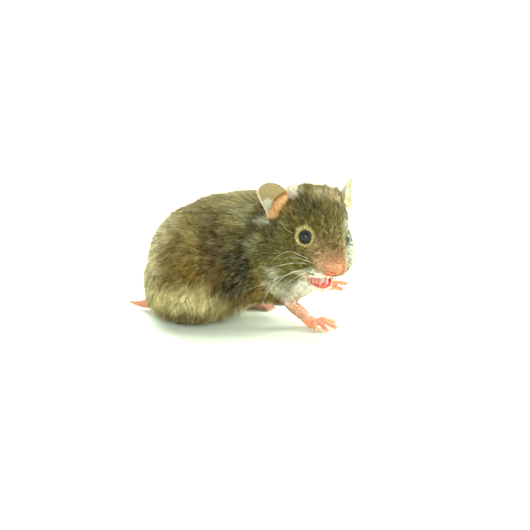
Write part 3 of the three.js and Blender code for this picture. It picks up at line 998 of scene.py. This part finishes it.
def earMaterial():
    # Bare ear leather: tan inside with veins, orange where light comes through the fold, pale at its rim.
    material, tree, place = newMaterial("thinEarLeather")
    veins = {"Scale": 420, "Distortion": 7, "Detail": 3, "Detail Scale": 2, "bands_direction": "DIAGONAL"}
    vein = addNode(tree, "TexWave", veins, {"Vector": place}).outputs["Fac"]
    level = mapped(tree, vein, {"To Min": 0.84, "To Max": 1.06})
    surface(tree, {"Roughness": 0.55, "IOR": 1.4, **translucent(0.2, (1.0, 0.5, 0.3), 0.0005)}, {
        "Base Color": levelled(tree, attribute(tree, "earTint", "Color"), level),
        "Normal": bumped(tree, noise(tree, place, 3000, 3), {"Strength": 0.3, "Distance": 0.00008}),
    })
    return material


def rimAt(turn):
    # A smooth closed line through the listed reaches.
    reach = np.array(earMake["reach"], float)
    at = (turn % math.tau) / math.tau * len(reach)
    low = at.astype(int)
    return throughFour(*(reach[(low + k) % len(reach)] for k in (-1, 0, 1, 2)), at - low)


def makeEars():
    look = earMaterial()
    for name, side in sides.items():
        pose = earMake[name]
        up = unit(np.array(pose["up"], float))
        front = np.array(pose["facing"], float)
        front = unit(front - up * np.dot(front, up))
        across = np.cross(up, front) * -side
        bm = bmesh.new()
        bmesh.ops.create_uvsphere(bm, u_segments=144, v_segments=64, radius=1)
        ball = placesOf(bm)
        spin = length(ball[:, :2])
        turn = np.arctan2(ball[:, 1], ball[:, 0])
        inside = ball[:, 2] > 0
        reach = spin * rimAt(turn) * (1 + 0.008 * np.sin(13 * turn + 1) + 0.006 * np.sin(29 * turn))
        u = earMake["middle"][0] + reach * np.cos(turn)
        v = earMake["middle"][1] + reach * np.sin(turn)
        low = np.clip(1 - v / earMake["height"], 0, 1)
        thick = (earMake["thick"] + 0.3 * low) * np.sqrt(np.maximum(1 - spin ** 8, 0))
        cup = 2.6 * spin ** 2 * (0.35 + 0.65 * low) + low ** 2 * 1.6 * (u / 6.3) ** 2 - 1.2 * low
        # A crease runs from the inner edge to the low corner; below it the front flap rolls forward.
        past = v - 5.3 + np.where(u > -0.5, 0.05, 0.03) * (u + 0.5) ** 2
        crease = np.exp(-(past / 0.5) ** 2) * ease(u, -5.5, -2)
        flap = ease(-past, 0, 1.3) * (1 - 0.5 * ease(-past, 2.6, 4.5))
        ribs = np.sin(u * 5.6 + 1.6 * np.sin(v * 0.7 + 0.4 * u)) * (0.6 + 0.4 * np.sin(v * 1.9 + u * 2.3))
        ribs = ribs * ease(past, 0, 1.5) * (1 - ease(spin, 0.9, 1))
        curl = 0.5 * ease(spin, 0.86, 1) * (past > 0)
        relief = 0.9 * flap - 0.55 * crease + 0.1 * ribs + curl
        w = cup + np.sign(ball[:, 2]) * thick + np.where(inside, relief, curl)
        local = np.array(pose["root"]) + np.outer(v, up) + np.outer(u, across)
        points = fromHead(local + np.outer(w, front))
        moveTo(bm, points)
        mesh = meshFrom(bm, "ear")
        base = np.tile(linear("#96855a"), (len(points), 1)) * (1 + 0.2 * ribs)[:, None]
        lobe = ease(-u, -1.0, 1.5) * (1 - ease(v + 0.35 * u, 8.0, 9.4)) * (past > 0)
        base = blend(base, np.outer(1 + 0.3 * ribs, linear("#c3c6ac")), lobe * 0.9)
        base = blend(base, linear("#b97f42"), ease(-past, -0.3, 0.5))
        base = blend(base, linear("#d2a86e"), ease(-past, 1.0, 3.0) * ease(u, -4, 2) * 0.85)
        # Darker orange along the crease above the flap: painted shade.
        base = blend(base, linear("#9c4d18"), crease * ease(u, -4, 0) * 0.9)
        base = np.where(inside[:, None], base, blend(base, linear("#b5a67e"), np.full(len(points), 0.8)))
        base = blend(base, linear("#f6f0dc"), ease(spin, 0.955, 0.99) * ease(-u, -5, -1) * ease(v, 2.5, 5))
        if name == "left":  # the far ear is greyer
            base = blend(base, linear("#a9ad90"), np.full(len(points), 0.5))
        paint(mesh, "earTint", base)
        mesh.materials.append(look)
        ear = linked("ear_leaf_" + name, mesh)
        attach(ear, "root")
        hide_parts("ear_" + name)
        half = np.stack([(u + 9) / 40 + np.where(inside, 0, 0.5), (v + 2) / 20], axis=1)
        shortHair["coat_ear_" + name] = {
            "mesh": mesh, "count": 5200, "long": (0.5, 2.4), "width": 0.09,
            "way": headAxes @ (up * 0.55 - across * 0.8), "pale": "#efd5a4", "tone": base, "map": half,
            "hairy": np.where(inside, ease(-past, -0.4, 0.8) + 0.4 * lobe, 0.5),
        }


makeEars()
print("ears made")

# Whiskers

# Long bristles from the whisker pad and one behind the brow: places on the head, and how thick they are from
# the root to the tip. `back` turns those of a side further to the rear.
whiskerMake = {
    "radii": (0.042, 0.038, 0.031, 0.021, 0.01), "back": {"right": 0, "left": 0.9},
    "lipHairs": 17, "lipRadii": (0.05, 0.06, 0.045, 0.015), "seed": 11,
}
whiskerPaths = (
    ((7.1, 10.1, -6.5), (3.7, 16.7, -5.5), (2.4, 21.1, -8.9), (1.7, 23.8, -13.7)),
    ((8.2, 9.9, -8.8), (7, 13.6, -9.1), (5.1, 18.6, -11.2), (3.4, 22.3, -15.3)),
    ((8.7, 9.6, -10.9), (8.1, 15.9, -13.6), (6.4, 25.7, -19.6), (3.5, 33.8, -25.3)),
    ((8.7, 9.8, -11.9), (7.3, 16.2, -14), (7.2, 23.6, -22.6), (8.3, 25.7, -28.4), (8.7, 27.9, -34.1)),
    ((9.6, 9, -7.4), (8.4, 12.4, -6.6), (5.8, 16.4, -7), (3.6, 19.2, -9.6)),
    ((6.6, 10.4, -9.9), (3.8, 15.8, -11.2), (0.4, 21.5, -15.4), (-2.6, 25.6, -20.6)),
    ((9.8, 8.8, -11.4), (9, 12.6, -14.2), (7.6, 16.4, -19), (6.6, 18.4, -24.2)),
    ((-3, 12.5, -0.6), (-3, 16.8, 1.4), (-2.6, 19.4, 3.7), (-2.4, 21.8, 5.8)),
)


def whiskerMaterial():
    # Stiff keratin bristle, white, and so thin that light passes through: a faint glow stands for that.
    material, tree, place = newMaterial("whiskerKeratin")
    colour = ramp(tree, noise(tree, place, 300, 1), {0.3: "#ece4cc", 0.7: "#fbf8ee"})
    surface(tree, {
        "Roughness": 0.35, "IOR": 1.54, "Emission Color": ink("#fdf8ea"), "Emission Strength": 0.28,
    }, {"Base Color": colour})
    return material


def makeWhiskers():
    bm = bmesh.new()
    for name, side in sides.items():
        back = whiskerMake["back"][name]
        for path in whiskerPaths:
            places = []
            for x, y, z in path:
                out = y - path[0][1]
                places.append((x - back * out, (path[0][1] + out * (1 - 0.4 * back)) * side, z))
            root = 2 * np.array(places[0]) - places[1]
            places = fromHead([np.array(places[0]) + (root - places[0]) * 0.15, *places])
            places[:, 2] = np.maximum(places[:, 2], 0.6)
            drawnOut(bm, places, whiskerMake["radii"], 5, 22)
    # White hairs that hang from the upper lip across the mouth.
    draw = np.random.default_rng(whiskerMake["seed"])
    head = inHead(outer)
    around = farOut(head, *openings["mouth"])
    above = head[:, 2] > openings["mouth"][0][2] + 0.5
    edge = head[(around > 1.0) & (around < 1.22) & above & (head[:, 0] > 2)]
    for y in np.linspace(-6.8, 1.2, whiskerMake["lipHairs"]):
        near = np.exp(-((edge[:, 1] - y) / 0.4) ** 2)
        root = (edge * near[:, None]).sum(axis=0) / near.sum()
        long = 1.6 + 2.6 * math.sqrt(max(1 - ((y + 2.2) / 5.6) ** 2, 0)) + draw.uniform(-0.4, 0.3)
        way = unit(np.array((0.12, -0.1, -1)) + draw.normal(0, 0.06, 3))
        places = [root + way * long * t + (0.5 * math.sin(t * 3), 0, 0) for t in (-0.1, 0.3, 0.65, 1)]
        drawnOut(bm, fromHead(places), whiskerMake["lipRadii"], 5, 10)
    mesh = meshFrom(bm, "whiskers")
    mesh.materials.append(whiskerMaterial())
    piece = linked("whiskers", mesh)
    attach(piece, "root")


makeWhiskers()
print("whiskers made")

# Coat

# Blades gather twice: into strands about half a millimetre apart, and the strands into loose tufts. Pairs are
# the least and the most of a range. `patch` is the side of a blade's own patch of the map.
coatMake = {
    "patch": 0.003, "soft": 0.36, "sunk": 0.12, "roll": 0.6, "sway": 0.26, "widths": (0.7, 1.2),
    "depth": (0.42, 4.6), "heights": (0.58, 1.08), "reaches": (0.6, 1.35), "leastReach": 0.15,
    "guards": 0.18, "guardHeights": (1.1, 1.45), "guardPull": 0.25, "guardWidth": 0.55,
    "strand": 0.56, "strandPull": 0.62, "strandStray": 0.1, "tuftPull": 0.08, "tuftStray": 0.07,
    "rootDark": 0.12, "strandTone": 0.5, "tuftTone": 0.05, "singleTone": 0.4,
}

# Pieces of the coat: how many blades, how wide, how far they lie over for their height, and a tuft's size.
coatPieces = {
    "coat_face": {"blades": 66000, "width": 0.12, "lean": 2.1, "tuft": 1.2},
    "coat_crown": {"blades": 62000, "width": 0.15, "lean": 1.7, "tuft": 1.6},
    "coat_neck": {"blades": 38000, "width": 0.21, "lean": 1.45, "tuft": 2.2},
    "coat_shoulder": {"blades": 62000, "width": 0.23, "lean": 1.4, "tuft": 2.4},
    "coat_back": {"blades": 60000, "width": 0.23, "lean": 1.35, "tuft": 2.4},
    "coat_rump": {"blades": 60000, "width": 0.23, "lean": 1.35, "tuft": 2.4},
    "coat_haunch_right": {"blades": 62000, "width": 0.22, "lean": 1.35, "tuft": 2.2},
    "coat_haunch_left": {"blades": 44000, "width": 0.24, "lean": 1.35, "tuft": 2.2},
    "coat_legs": {"blades": 5000, "width": 0.09, "lean": 2.6, "tuft": 0.7},
}

# Where the hair is shorter: the middle on the head, half-sizes, and by what share.
trims = {"besideFarEye": ((4, 5.5, 1.5), (7, 4.8, 7.5), 0.6)}

# Where the hair stands longer: on which side, the middle on the head, half-sizes, extra length, and its way.
fluffs = {
    "farCheek": ("left", (1, 12, -4), (10, 7, 11), 3.6, (0, 1, -0.1)),
    "farCrown": ("left", (-10.5, 7, 13.5), (7, 7, 6), 3.8, (-0.35, 0.5, 0.7)),
    "earFront": ("both", (-10.5, 13.5, 6), (4.5, 6, 8.5), 3.2, (-0.8, 0.6, 0.1)),
    "earShade": ("both", (-11.5, 22, 0), (3.6, 5, 3), 0.8, (-0.9, 0.5, -0.2)),
    "crownTuft": ("both", (-18.5, 10.5, 13), (5, 5, 5), 2.6, (-0.2, 0.2, 0.9)),
}


def lieOf(points, normals):
    # The way the coat lies: back along the trunk and down its sides, away from the nose on the face.
    body, head = points - shift, inHead(points)
    high = ease(body[:, 2], 6, 50)
    down = 1 - 0.88 * high
    trunk = np.stack([-(0.3 + 0.7 * high), 0.12 * np.sign(body[:, 1]) * (1 - high), -down], axis=1)
    away = unit(head - np.array((20, 0, -7)))
    away[:, 2] += 0.25 * ease(head[:, 2], 0, 12) * ease(head[:, 0], -4, 10)
    face = unit(away) @ headAxes.T
    share = ease(head[:, 0], -27, -8) * ease(head[:, 2], -25, -16)
    lie = blend(unit(trunk), face, share)
    for place in eyePlace.values():
        off = head - place
        lie = blend(lie, unit(off) @ headAxes.T, (1 - ease(length(off), 3.8, 7)) * 0.9)
    legs = np.isin(labels, [names.index("foreleg_left"), names.index("foreleg_right")]).astype(float)
    lie = blend(lie, unit(np.array((0.55, 0.1, -0.83))), legs)
    for size, amount, seed in ((16, 0.3, 1), (5, 0.32, 2)):
        wave = np.stack([ripple(points, size, seed * 10 + k) for k in range(3)], axis=1)
        lie = lie + wave * (amount * (1 - 0.5 * share))[:, None]
    lie = lie + extraLong[:, None] * extraWay * 0.8
    lie = lie - normals * np.sum(lie * normals, axis=1, keepdims=True)
    return unit(lie)


triangles, corners = readTriangles(flesh), readTriangles(flesh, "loops")
skinMap = read(skin.data.uv_layers["OFBake"].data, "uv", 2)
inner = readPoints(flesh)


def fluffed():
    # Extra length at every corner of the flesh, in mm, and the way the long hair points.
    head = inHead(outer)
    extra, way = np.zeros(len(outer)), np.zeros((len(outer), 3))
    for which, centre, half, long, points in fluffs.values():
        for side in (1, -1) if which == "both" else (1,):
            spot = softSpot(head, np.array(centre) * (1, side, 1), half)
            extra = np.maximum(extra, spot * long)
            way += spot[:, None] * (headAxes @ (np.array(points) * (1, side, 1)))
    return extra, way


def calmed():
    # The hair round the eyes and on the muzzle reaches less far.
    head = inHead(outer)
    share = 1 - 0.4 * ease(head[:, 0], 6, 13)
    for place in eyePlace.values():
        share = share * (0.5 + 0.5 * ease(length(head - place), 3.6, 7.5))
    return share


def trimmed():
    # How much of its height the hair keeps.
    share = np.ones(len(outer))
    for middle, half, cut in trims.values():
        share *= 1 - cut * softSpot(inHead(outer), middle, half)
    return share


extraLong, extraWay = fluffed()
calm, kept = calmed(), trimmed()
plain = ease(farOut(inHead(outer), (14, 1, -7), (8, 9, 7)), 1.3, 0.7) * 0.65  # one colour on the muzzle
lie = lieOf(outer, outerNormal)
tint = coatColour(outer + lie * (depth * 0.8)[:, None])  # a hair shows its colour where it ends


def growable():
    # How thick the coat stands, from 0 to 1: none in the mouth, on the nose or over the eyes.
    head = inHead(outer)
    thick = ease(farOut(head, *openings["mouth"]), 1.04, 1.12)
    above = 0.14 * ease(head[:, 2], -6, -4)
    thick *= ease(farOut(head, *openings["nose"]) + above, 0.98, 1.14)
    for place in eyePlace.values():
        thick *= ease(length(head - place), 3.2, 3.45)
    return thick * np.where(labels == names.index("lower_jaw"), 0.6, 1)


thickness = growable()


def pieceOf(centres, label):
    body, head = centres - shift, inHead(centres)
    named = np.array(names)[label]
    piece = np.full(len(centres), "coat_rump", dtype=object)
    piece[(named == "torso") & (body[:, 2] > 38)] = "coat_back"
    piece[(named == "torso") & (body[:, 0] > 8)] = "coat_shoulder"
    piece[named == "neck"] = "coat_neck"
    piece[named == "haunch_right"] = "coat_haunch_right"
    piece[named == "haunch_left"] = "coat_haunch_left"
    piece[named == "head"] = "coat_crown"
    piece[(named == "head") & (head[:, 0] > -4)] = "coat_face"
    piece[named == "lower_jaw"] = "coat_face"
    piece[np.char.startswith(named, "fore")] = "coat_legs"
    return piece


def scattered(count, faces, areas, chosen):
    # Roots spread over the chosen triangles in proportion to `areas`: a function that brings values from the
    # corners of the triangles to them.
    weights = areas[chosen]
    picked = random.choice(chosen, size=count, p=weights / weights.sum())
    a, b = np.sqrt(random.random(count)), random.random(count)
    shares = np.stack([1 - a, a * (1 - b), a * b], axis=1)
    return lambda values, indices=faces: np.einsum("nk,nk...->n...", shares, values[indices[picked]])


def clumped(roots, tips, size, pull, density):
    # Tips are drawn towards those of their clump; each clump is a random blade and its neighbours.
    where = np.flatnonzero(random.random(len(roots)) < 1 / (density * size ** 2))
    own = where[nearestOf(roots[where], roots)]
    target = tips[own] + (roots - roots[own]) * 0.2
    return tips + (target - tips) * np.reshape(pull, (-1, 1)), own


def blades(roots, normals, tips, widths, tints, roll):
    # Every blade as five corners: a pair at the root, a pair at the bend, and the tip.
    lift = np.sum((tips - roots) * normals, axis=1, keepdims=True)
    run = (tips - roots) - normals * lift
    bend = roots + normals * lift * 0.68 + run * 0.38
    rows = []
    for centre, along, wide in ((roots, bend - roots, 0.9), (bend, tips - roots, 1.0)):
        flat = unit(np.cross(along, normals))
        over = unit(np.cross(flat, along))
        half = (flat * np.cos(roll)[:, None] + over * np.sin(roll)[:, None]) * (widths * wide / 2)[:, None]
        rows += [centre - half, centre + half]
    root, middle, tip = tints
    return np.stack([*rows, tips], axis=1), np.stack([root, root, middle, middle, tip], axis=1)


def bladeMesh(name, cornersOf, tints, shading, maps):
    count = len(cornersOf)
    points = cornersOf.reshape(-1, 3)
    points[:, 2] = np.maximum(points[:, 2], floorClear)
    mesh = bpy.data.meshes.new(name)
    mesh.vertices.add(count * 5)
    mesh.vertices.foreach_set("co", (points * mm).astype(np.float32).ravel())
    order = np.array((0, 1, 3, 2, 2, 3, 4))
    loops = (np.arange(count)[:, None] * 5 + order).ravel().astype(np.int32)
    mesh.loops.add(len(loops))
    mesh.loops.foreach_set("vertex_index", loops)
    starts = (np.arange(count)[:, None] * 7 + np.array((0, 4))).ravel().astype(np.int32)
    mesh.polygons.add(count * 2)
    mesh.polygons.foreach_set("loop_start", starts)
    mesh.update(calc_edges=True)
    mesh.shade_smooth()
    patch = np.array(((-0.5, 0), (0.5, 0), (-0.5, 0.5), (0.5, 0.5), (0, 1)))
    spread = maps[:, None, :] + (patch - (0, 0.5)) * coatMake["patch"]
    layer = mesh.uv_layers.new(name="OFBake")
    layer.data.foreach_set("uv", np.clip(spread[:, order], 0, 1).astype(np.float32).ravel())
    paint(mesh, "coatTint", tints.reshape(-1, 3))
    mesh.normals_split_custom_set_from_vertices(unit(shading.reshape(-1, 3)))
    return mesh


def shadingFor(cornersOf, outward):
    # Normals between each blade's own face and the body under it, so that the coat shades as one soft form.
    sideways = cornersOf[:, 1] - cornersOf[:, 0]
    forward = cornersOf[:, 4] - cornersOf[:, 0]
    face = unit(np.cross(sideways, forward))
    face *= np.sign(np.sum(face * outward, axis=1, keepdims=True))
    mixed = unit(outward * coatMake["soft"] + face * (1 - coatMake["soft"]))
    return np.repeat(mixed[:, None, :], 5, axis=1)


def coatMaterial():
    # Fine soft hair, nearly matt, its colour from the blade's root to its tip.
    material, tree, place = newMaterial("softHair")
    # Ticking: light and dark bands about 0.9 mm long.
    bands = {"From Min": 0.3, "From Max": 0.7, "To Min": 0.75, "To Max": 1.25}
    level = mapped(tree, noise(tree, place, 1100, 2), bands)
    surface(tree, {
        "Roughness": 0.6, "IOR": 1.5, "Specular IOR Level": 0.06,
        "Sheen Weight": 0.02, "Sheen Roughness": 0.4, "Sheen Tint": ink("#f0ecc8"),
    }, {"Base Color": levelled(tree, attribute(tree, "coatTint", "Color"), level)})
    return material


coatLook = coatMaterial()


def hairTints(tone, plain, guard, strand, tuft):
    # Dark at the root, the coat's colour in the middle, and a tip that is pale, plain or dark: the ticking.
    # White hair and the hair of the muzzle are one colour to the root.
    count = len(tone)
    level = random.normal(0, coatMake["strandTone"], count)[strand]
    level += (random.normal(0, coatMake["tuftTone"], count)[tuft]
              + random.normal(0, coatMake["singleTone"], count))
    level = np.clip(np.exp(level) * 0.87, 0.28, 1.65)[:, None]
    even = np.maximum(ease(tone.mean(axis=1), 0.55, 0.8), plain)
    level = blend(level, np.clip(level, 0.85, 1.12), even)
    kind = np.where(guard, 0.15, 0) + 0.7 * random.random(count)[strand] + 0.3 * random.random(count)
    pale = kind > 0.66
    tip = np.where(kind < 0.3, 0.4, np.where(pale, 1.7, 1.0))
    tip = tip * (1 - even) + even
    root = coatMake["rootDark"] * (1 - even) + 0.75 * even
    whiter = 0.28 + 0.2 * (1 - ease(tone.mean(axis=1), 0.04, 0.2))
    tipTint = blend(tone * level * tip[:, None], linear("#d2c69c"), np.where(pale, whiter, 0) * (1 - even))
    return tone * root[:, None], tone * level * (0.8 + 0.18 * even)[:, None], tipTint


def grown(name, roots, normals, tips, widths, tints, roll, maps):
    # One piece of hair, dressed.
    cornersOf, tints = blades(roots, normals, tips, widths, tints, roll)
    mesh = bladeMesh(name, cornersOf, tints, shadingFor(cornersOf, normals), maps)
    mesh.materials.append(coatLook)
    made = linked(name, mesh)
    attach(made, "root")


def growCoat():
    a, b, c = (outer[triangles[:, k]] for k in range(3))
    areas = length(np.cross(b - a, c - a)) / 2 * thickness[triangles].mean(axis=1)
    piece = pieceOf(outer[triangles].mean(axis=1), labels[triangles[:, 0]])
    for name, make in coatPieces.items():
        count = make["blades"]
        chosen = np.flatnonzero((piece == name) & (areas > 0))
        density = count / areas[chosen].sum()
        rooted = scattered(count, triangles, areas, chosen)
        roots, normals, lies = rooted(inner), unit(rooted(outerNormal)), unit(rooted(lie))
        guard = random.random(count) < coatMake["guards"]
        height = np.clip(np.sum((rooted(outer) - roots) * normals, axis=1), *coatMake["depth"])
        height = height * random.uniform(*coatMake["heights"], count) * rooted(kept)
        height = height * np.where(guard, random.uniform(*coatMake["guardHeights"], count), 1)
        reach = height * make["lean"] * random.uniform(*coatMake["reaches"], count) * rooted(calm)
        reach = reach + coatMake["leastReach"]
        longer = rooted(extraLong) * random.uniform(0.5, 1.1, count)
        sway = np.cross(normals, lies) * (random.normal(0, coatMake["sway"], count) * reach)[:, None]
        tips = roots + normals * height[:, None] + lies * reach[:, None] + sway
        tips = tips + rooted(extraWay) * longer[:, None]
        free = np.where(guard, coatMake["guardPull"], 1)
        tips, strand = clumped(roots, tips, coatMake["strand"], coatMake["strandPull"] * free, density)
        tips = tips + random.normal(0, coatMake["strandStray"], (count, 3))[strand] * height[:, None]
        tips, tuft = clumped(roots, tips, make["tuft"], coatMake["tuftPull"] * free, density)
        tips = tips + random.normal(0, coatMake["tuftStray"], (count, 3))[tuft] * height[:, None]
        widths = make["width"] * random.uniform(*coatMake["widths"], count)
        widths = widths * np.where(guard, coatMake["guardWidth"], 1)
        roll = random.normal(0, coatMake["roll"], count)
        tints = hairTints(rooted(tint), rooted(plain), guard, strand, tuft)
        sunk = roots - normals * coatMake["sunk"]
        grown(name, sunk, normals, tips, widths, tints, roll, rooted(skinMap, corners))
        print(name, count, "blades,", round(float(density), 1), "to the square mm")


growCoat()


# Short hair on the ears and over the top of the nose

def growShortHair():
    for name, make in shortHair.items():
        mesh, count = make["mesh"], make["count"]
        faces = readTriangles(mesh)
        if name != "coat_nose":  # the ball behind an ear comes with its faces in an order that varies
            faces = faces[np.lexsort(faces.T)]
        points, hairy = readPoints(mesh), make["hairy"]
        a, b, c = (points[faces[:, k]] for k in range(3))
        areas = length(np.cross(b - a, c - a)) * hairy[faces].mean(axis=1)
        rooted = scattered(count, faces, areas, np.arange(len(faces)))
        roots, outward, thick = rooted(points), unit(rooted(readNormals(mesh))), rooted(hairy)
        way = make["way"] + random.normal(0, 0.16, (count, 3))
        way = unit(way - outward * np.sum(way * outward, axis=1, keepdims=True))
        least, most = make["long"]
        long = (least + (most - least) * np.clip(thick, 0, 1)) * random.uniform(0.6, 1.2, count)
        tips = roots + way * long[:, None] + outward * (0.16 * long)[:, None]
        tone = rooted(make["tone"]) * random.uniform(0.75, 1.25, (count, 1))
        tone = blend(tone, linear(make["pale"]), random.uniform(0, 0.5, count) * thick)
        roll = random.normal(0, 0.5, count)
        tints, widths = (tone * 0.8, tone, tone * 1.1), np.full(count, make["width"])
        grown(name, roots, outward, tips, widths, tints, roll, rooted(make["map"]))


growShortHair()
print("short hair grown")

# Floor and light

# The card glows more and more between `from` and `to`, in metres from the middle, so that it is white as far
# as it reaches, and a low round wall of the same card closes it off.
stage = {
    "floor": 24.0, "wallAway": 6.0, "wallHeight": 1.4, "world": 0.68,
    "glow": 1.0, "from": 0.16, "to": 0.9, "floorColour": "#dbe9d0",
}


def makeFloor():
    bm = bmesh.new()
    away = stage["wallAway"]
    bmesh.ops.create_grid(bm, x_segments=8, y_segments=8, size=stage["floor"] / 2)
    bmesh.ops.create_cone(bm, segments=64, radius1=away, radius2=away, depth=2 * stage["wallHeight"])
    mesh = meshOf(bm, "floor")
    material, tree, place = newMaterial("paleMattCard")
    colour = ramp(tree, noise(tree, place, 40, 2), {0.3: stage["floorColour"], 0.7: "#dfecd6"})
    far = addNode(tree, "VectorMath", {"operation": "LENGTH"}, {"Vector": place}).outputs["Value"]
    glow = mapped(tree, far, {
        "From Min": stage["from"], "From Max": stage["to"], "To Min": 0, "To Max": stage["glow"],
    })
    surface(tree, {"Roughness": 0.8, "Emission Color": ink("#ffffff")},
            {"Base Color": colour, "Emission Strength": glow})
    mesh.materials.append(material)
    linked("floor", mesh)


# Soft boxes: where they stand in metres, their side, and their power.
lights = {
    "overhead": ((0.0, 0.4, 0.85), 0.7, 11.5),
    "fromRight": ((0.8, 0.4, 0.35), 0.5, 15),
    "fromLeftBehind": ((-0.62, 0.68, 0.42), 0.5, 17),
    "front": ((-0.2, -0.9, 0.45), 0.6, 4),
    "catch": ((0.2, -0.9, 0.28), 0.14, 1.6),
}


def makeLights():
    for name, (place, side, power) in lights.items():
        light = bpy.data.lights.new(name, "AREA")
        light.shape = "SQUARE"
        light.size = side
        light.energy = power
        lamp = linked(name, light)
        lamp.location = place
        lamp.rotation_euler = (-Vector(place)).to_track_quat("-Z", "Y").to_euler()
    world = bpy.data.worlds.new("studio")
    bpy.context.scene.world = world
    world.use_nodes = True
    sky = world.node_tree.nodes["Background"]
    sky.inputs["Color"].default_value = ink("#ffffff")
    sky.inputs["Strength"].default_value = stage["world"]
    bpy.context.scene.view_settings.view_transform = "Standard"


makeFloor()
makeLights()
print("floor and light set")
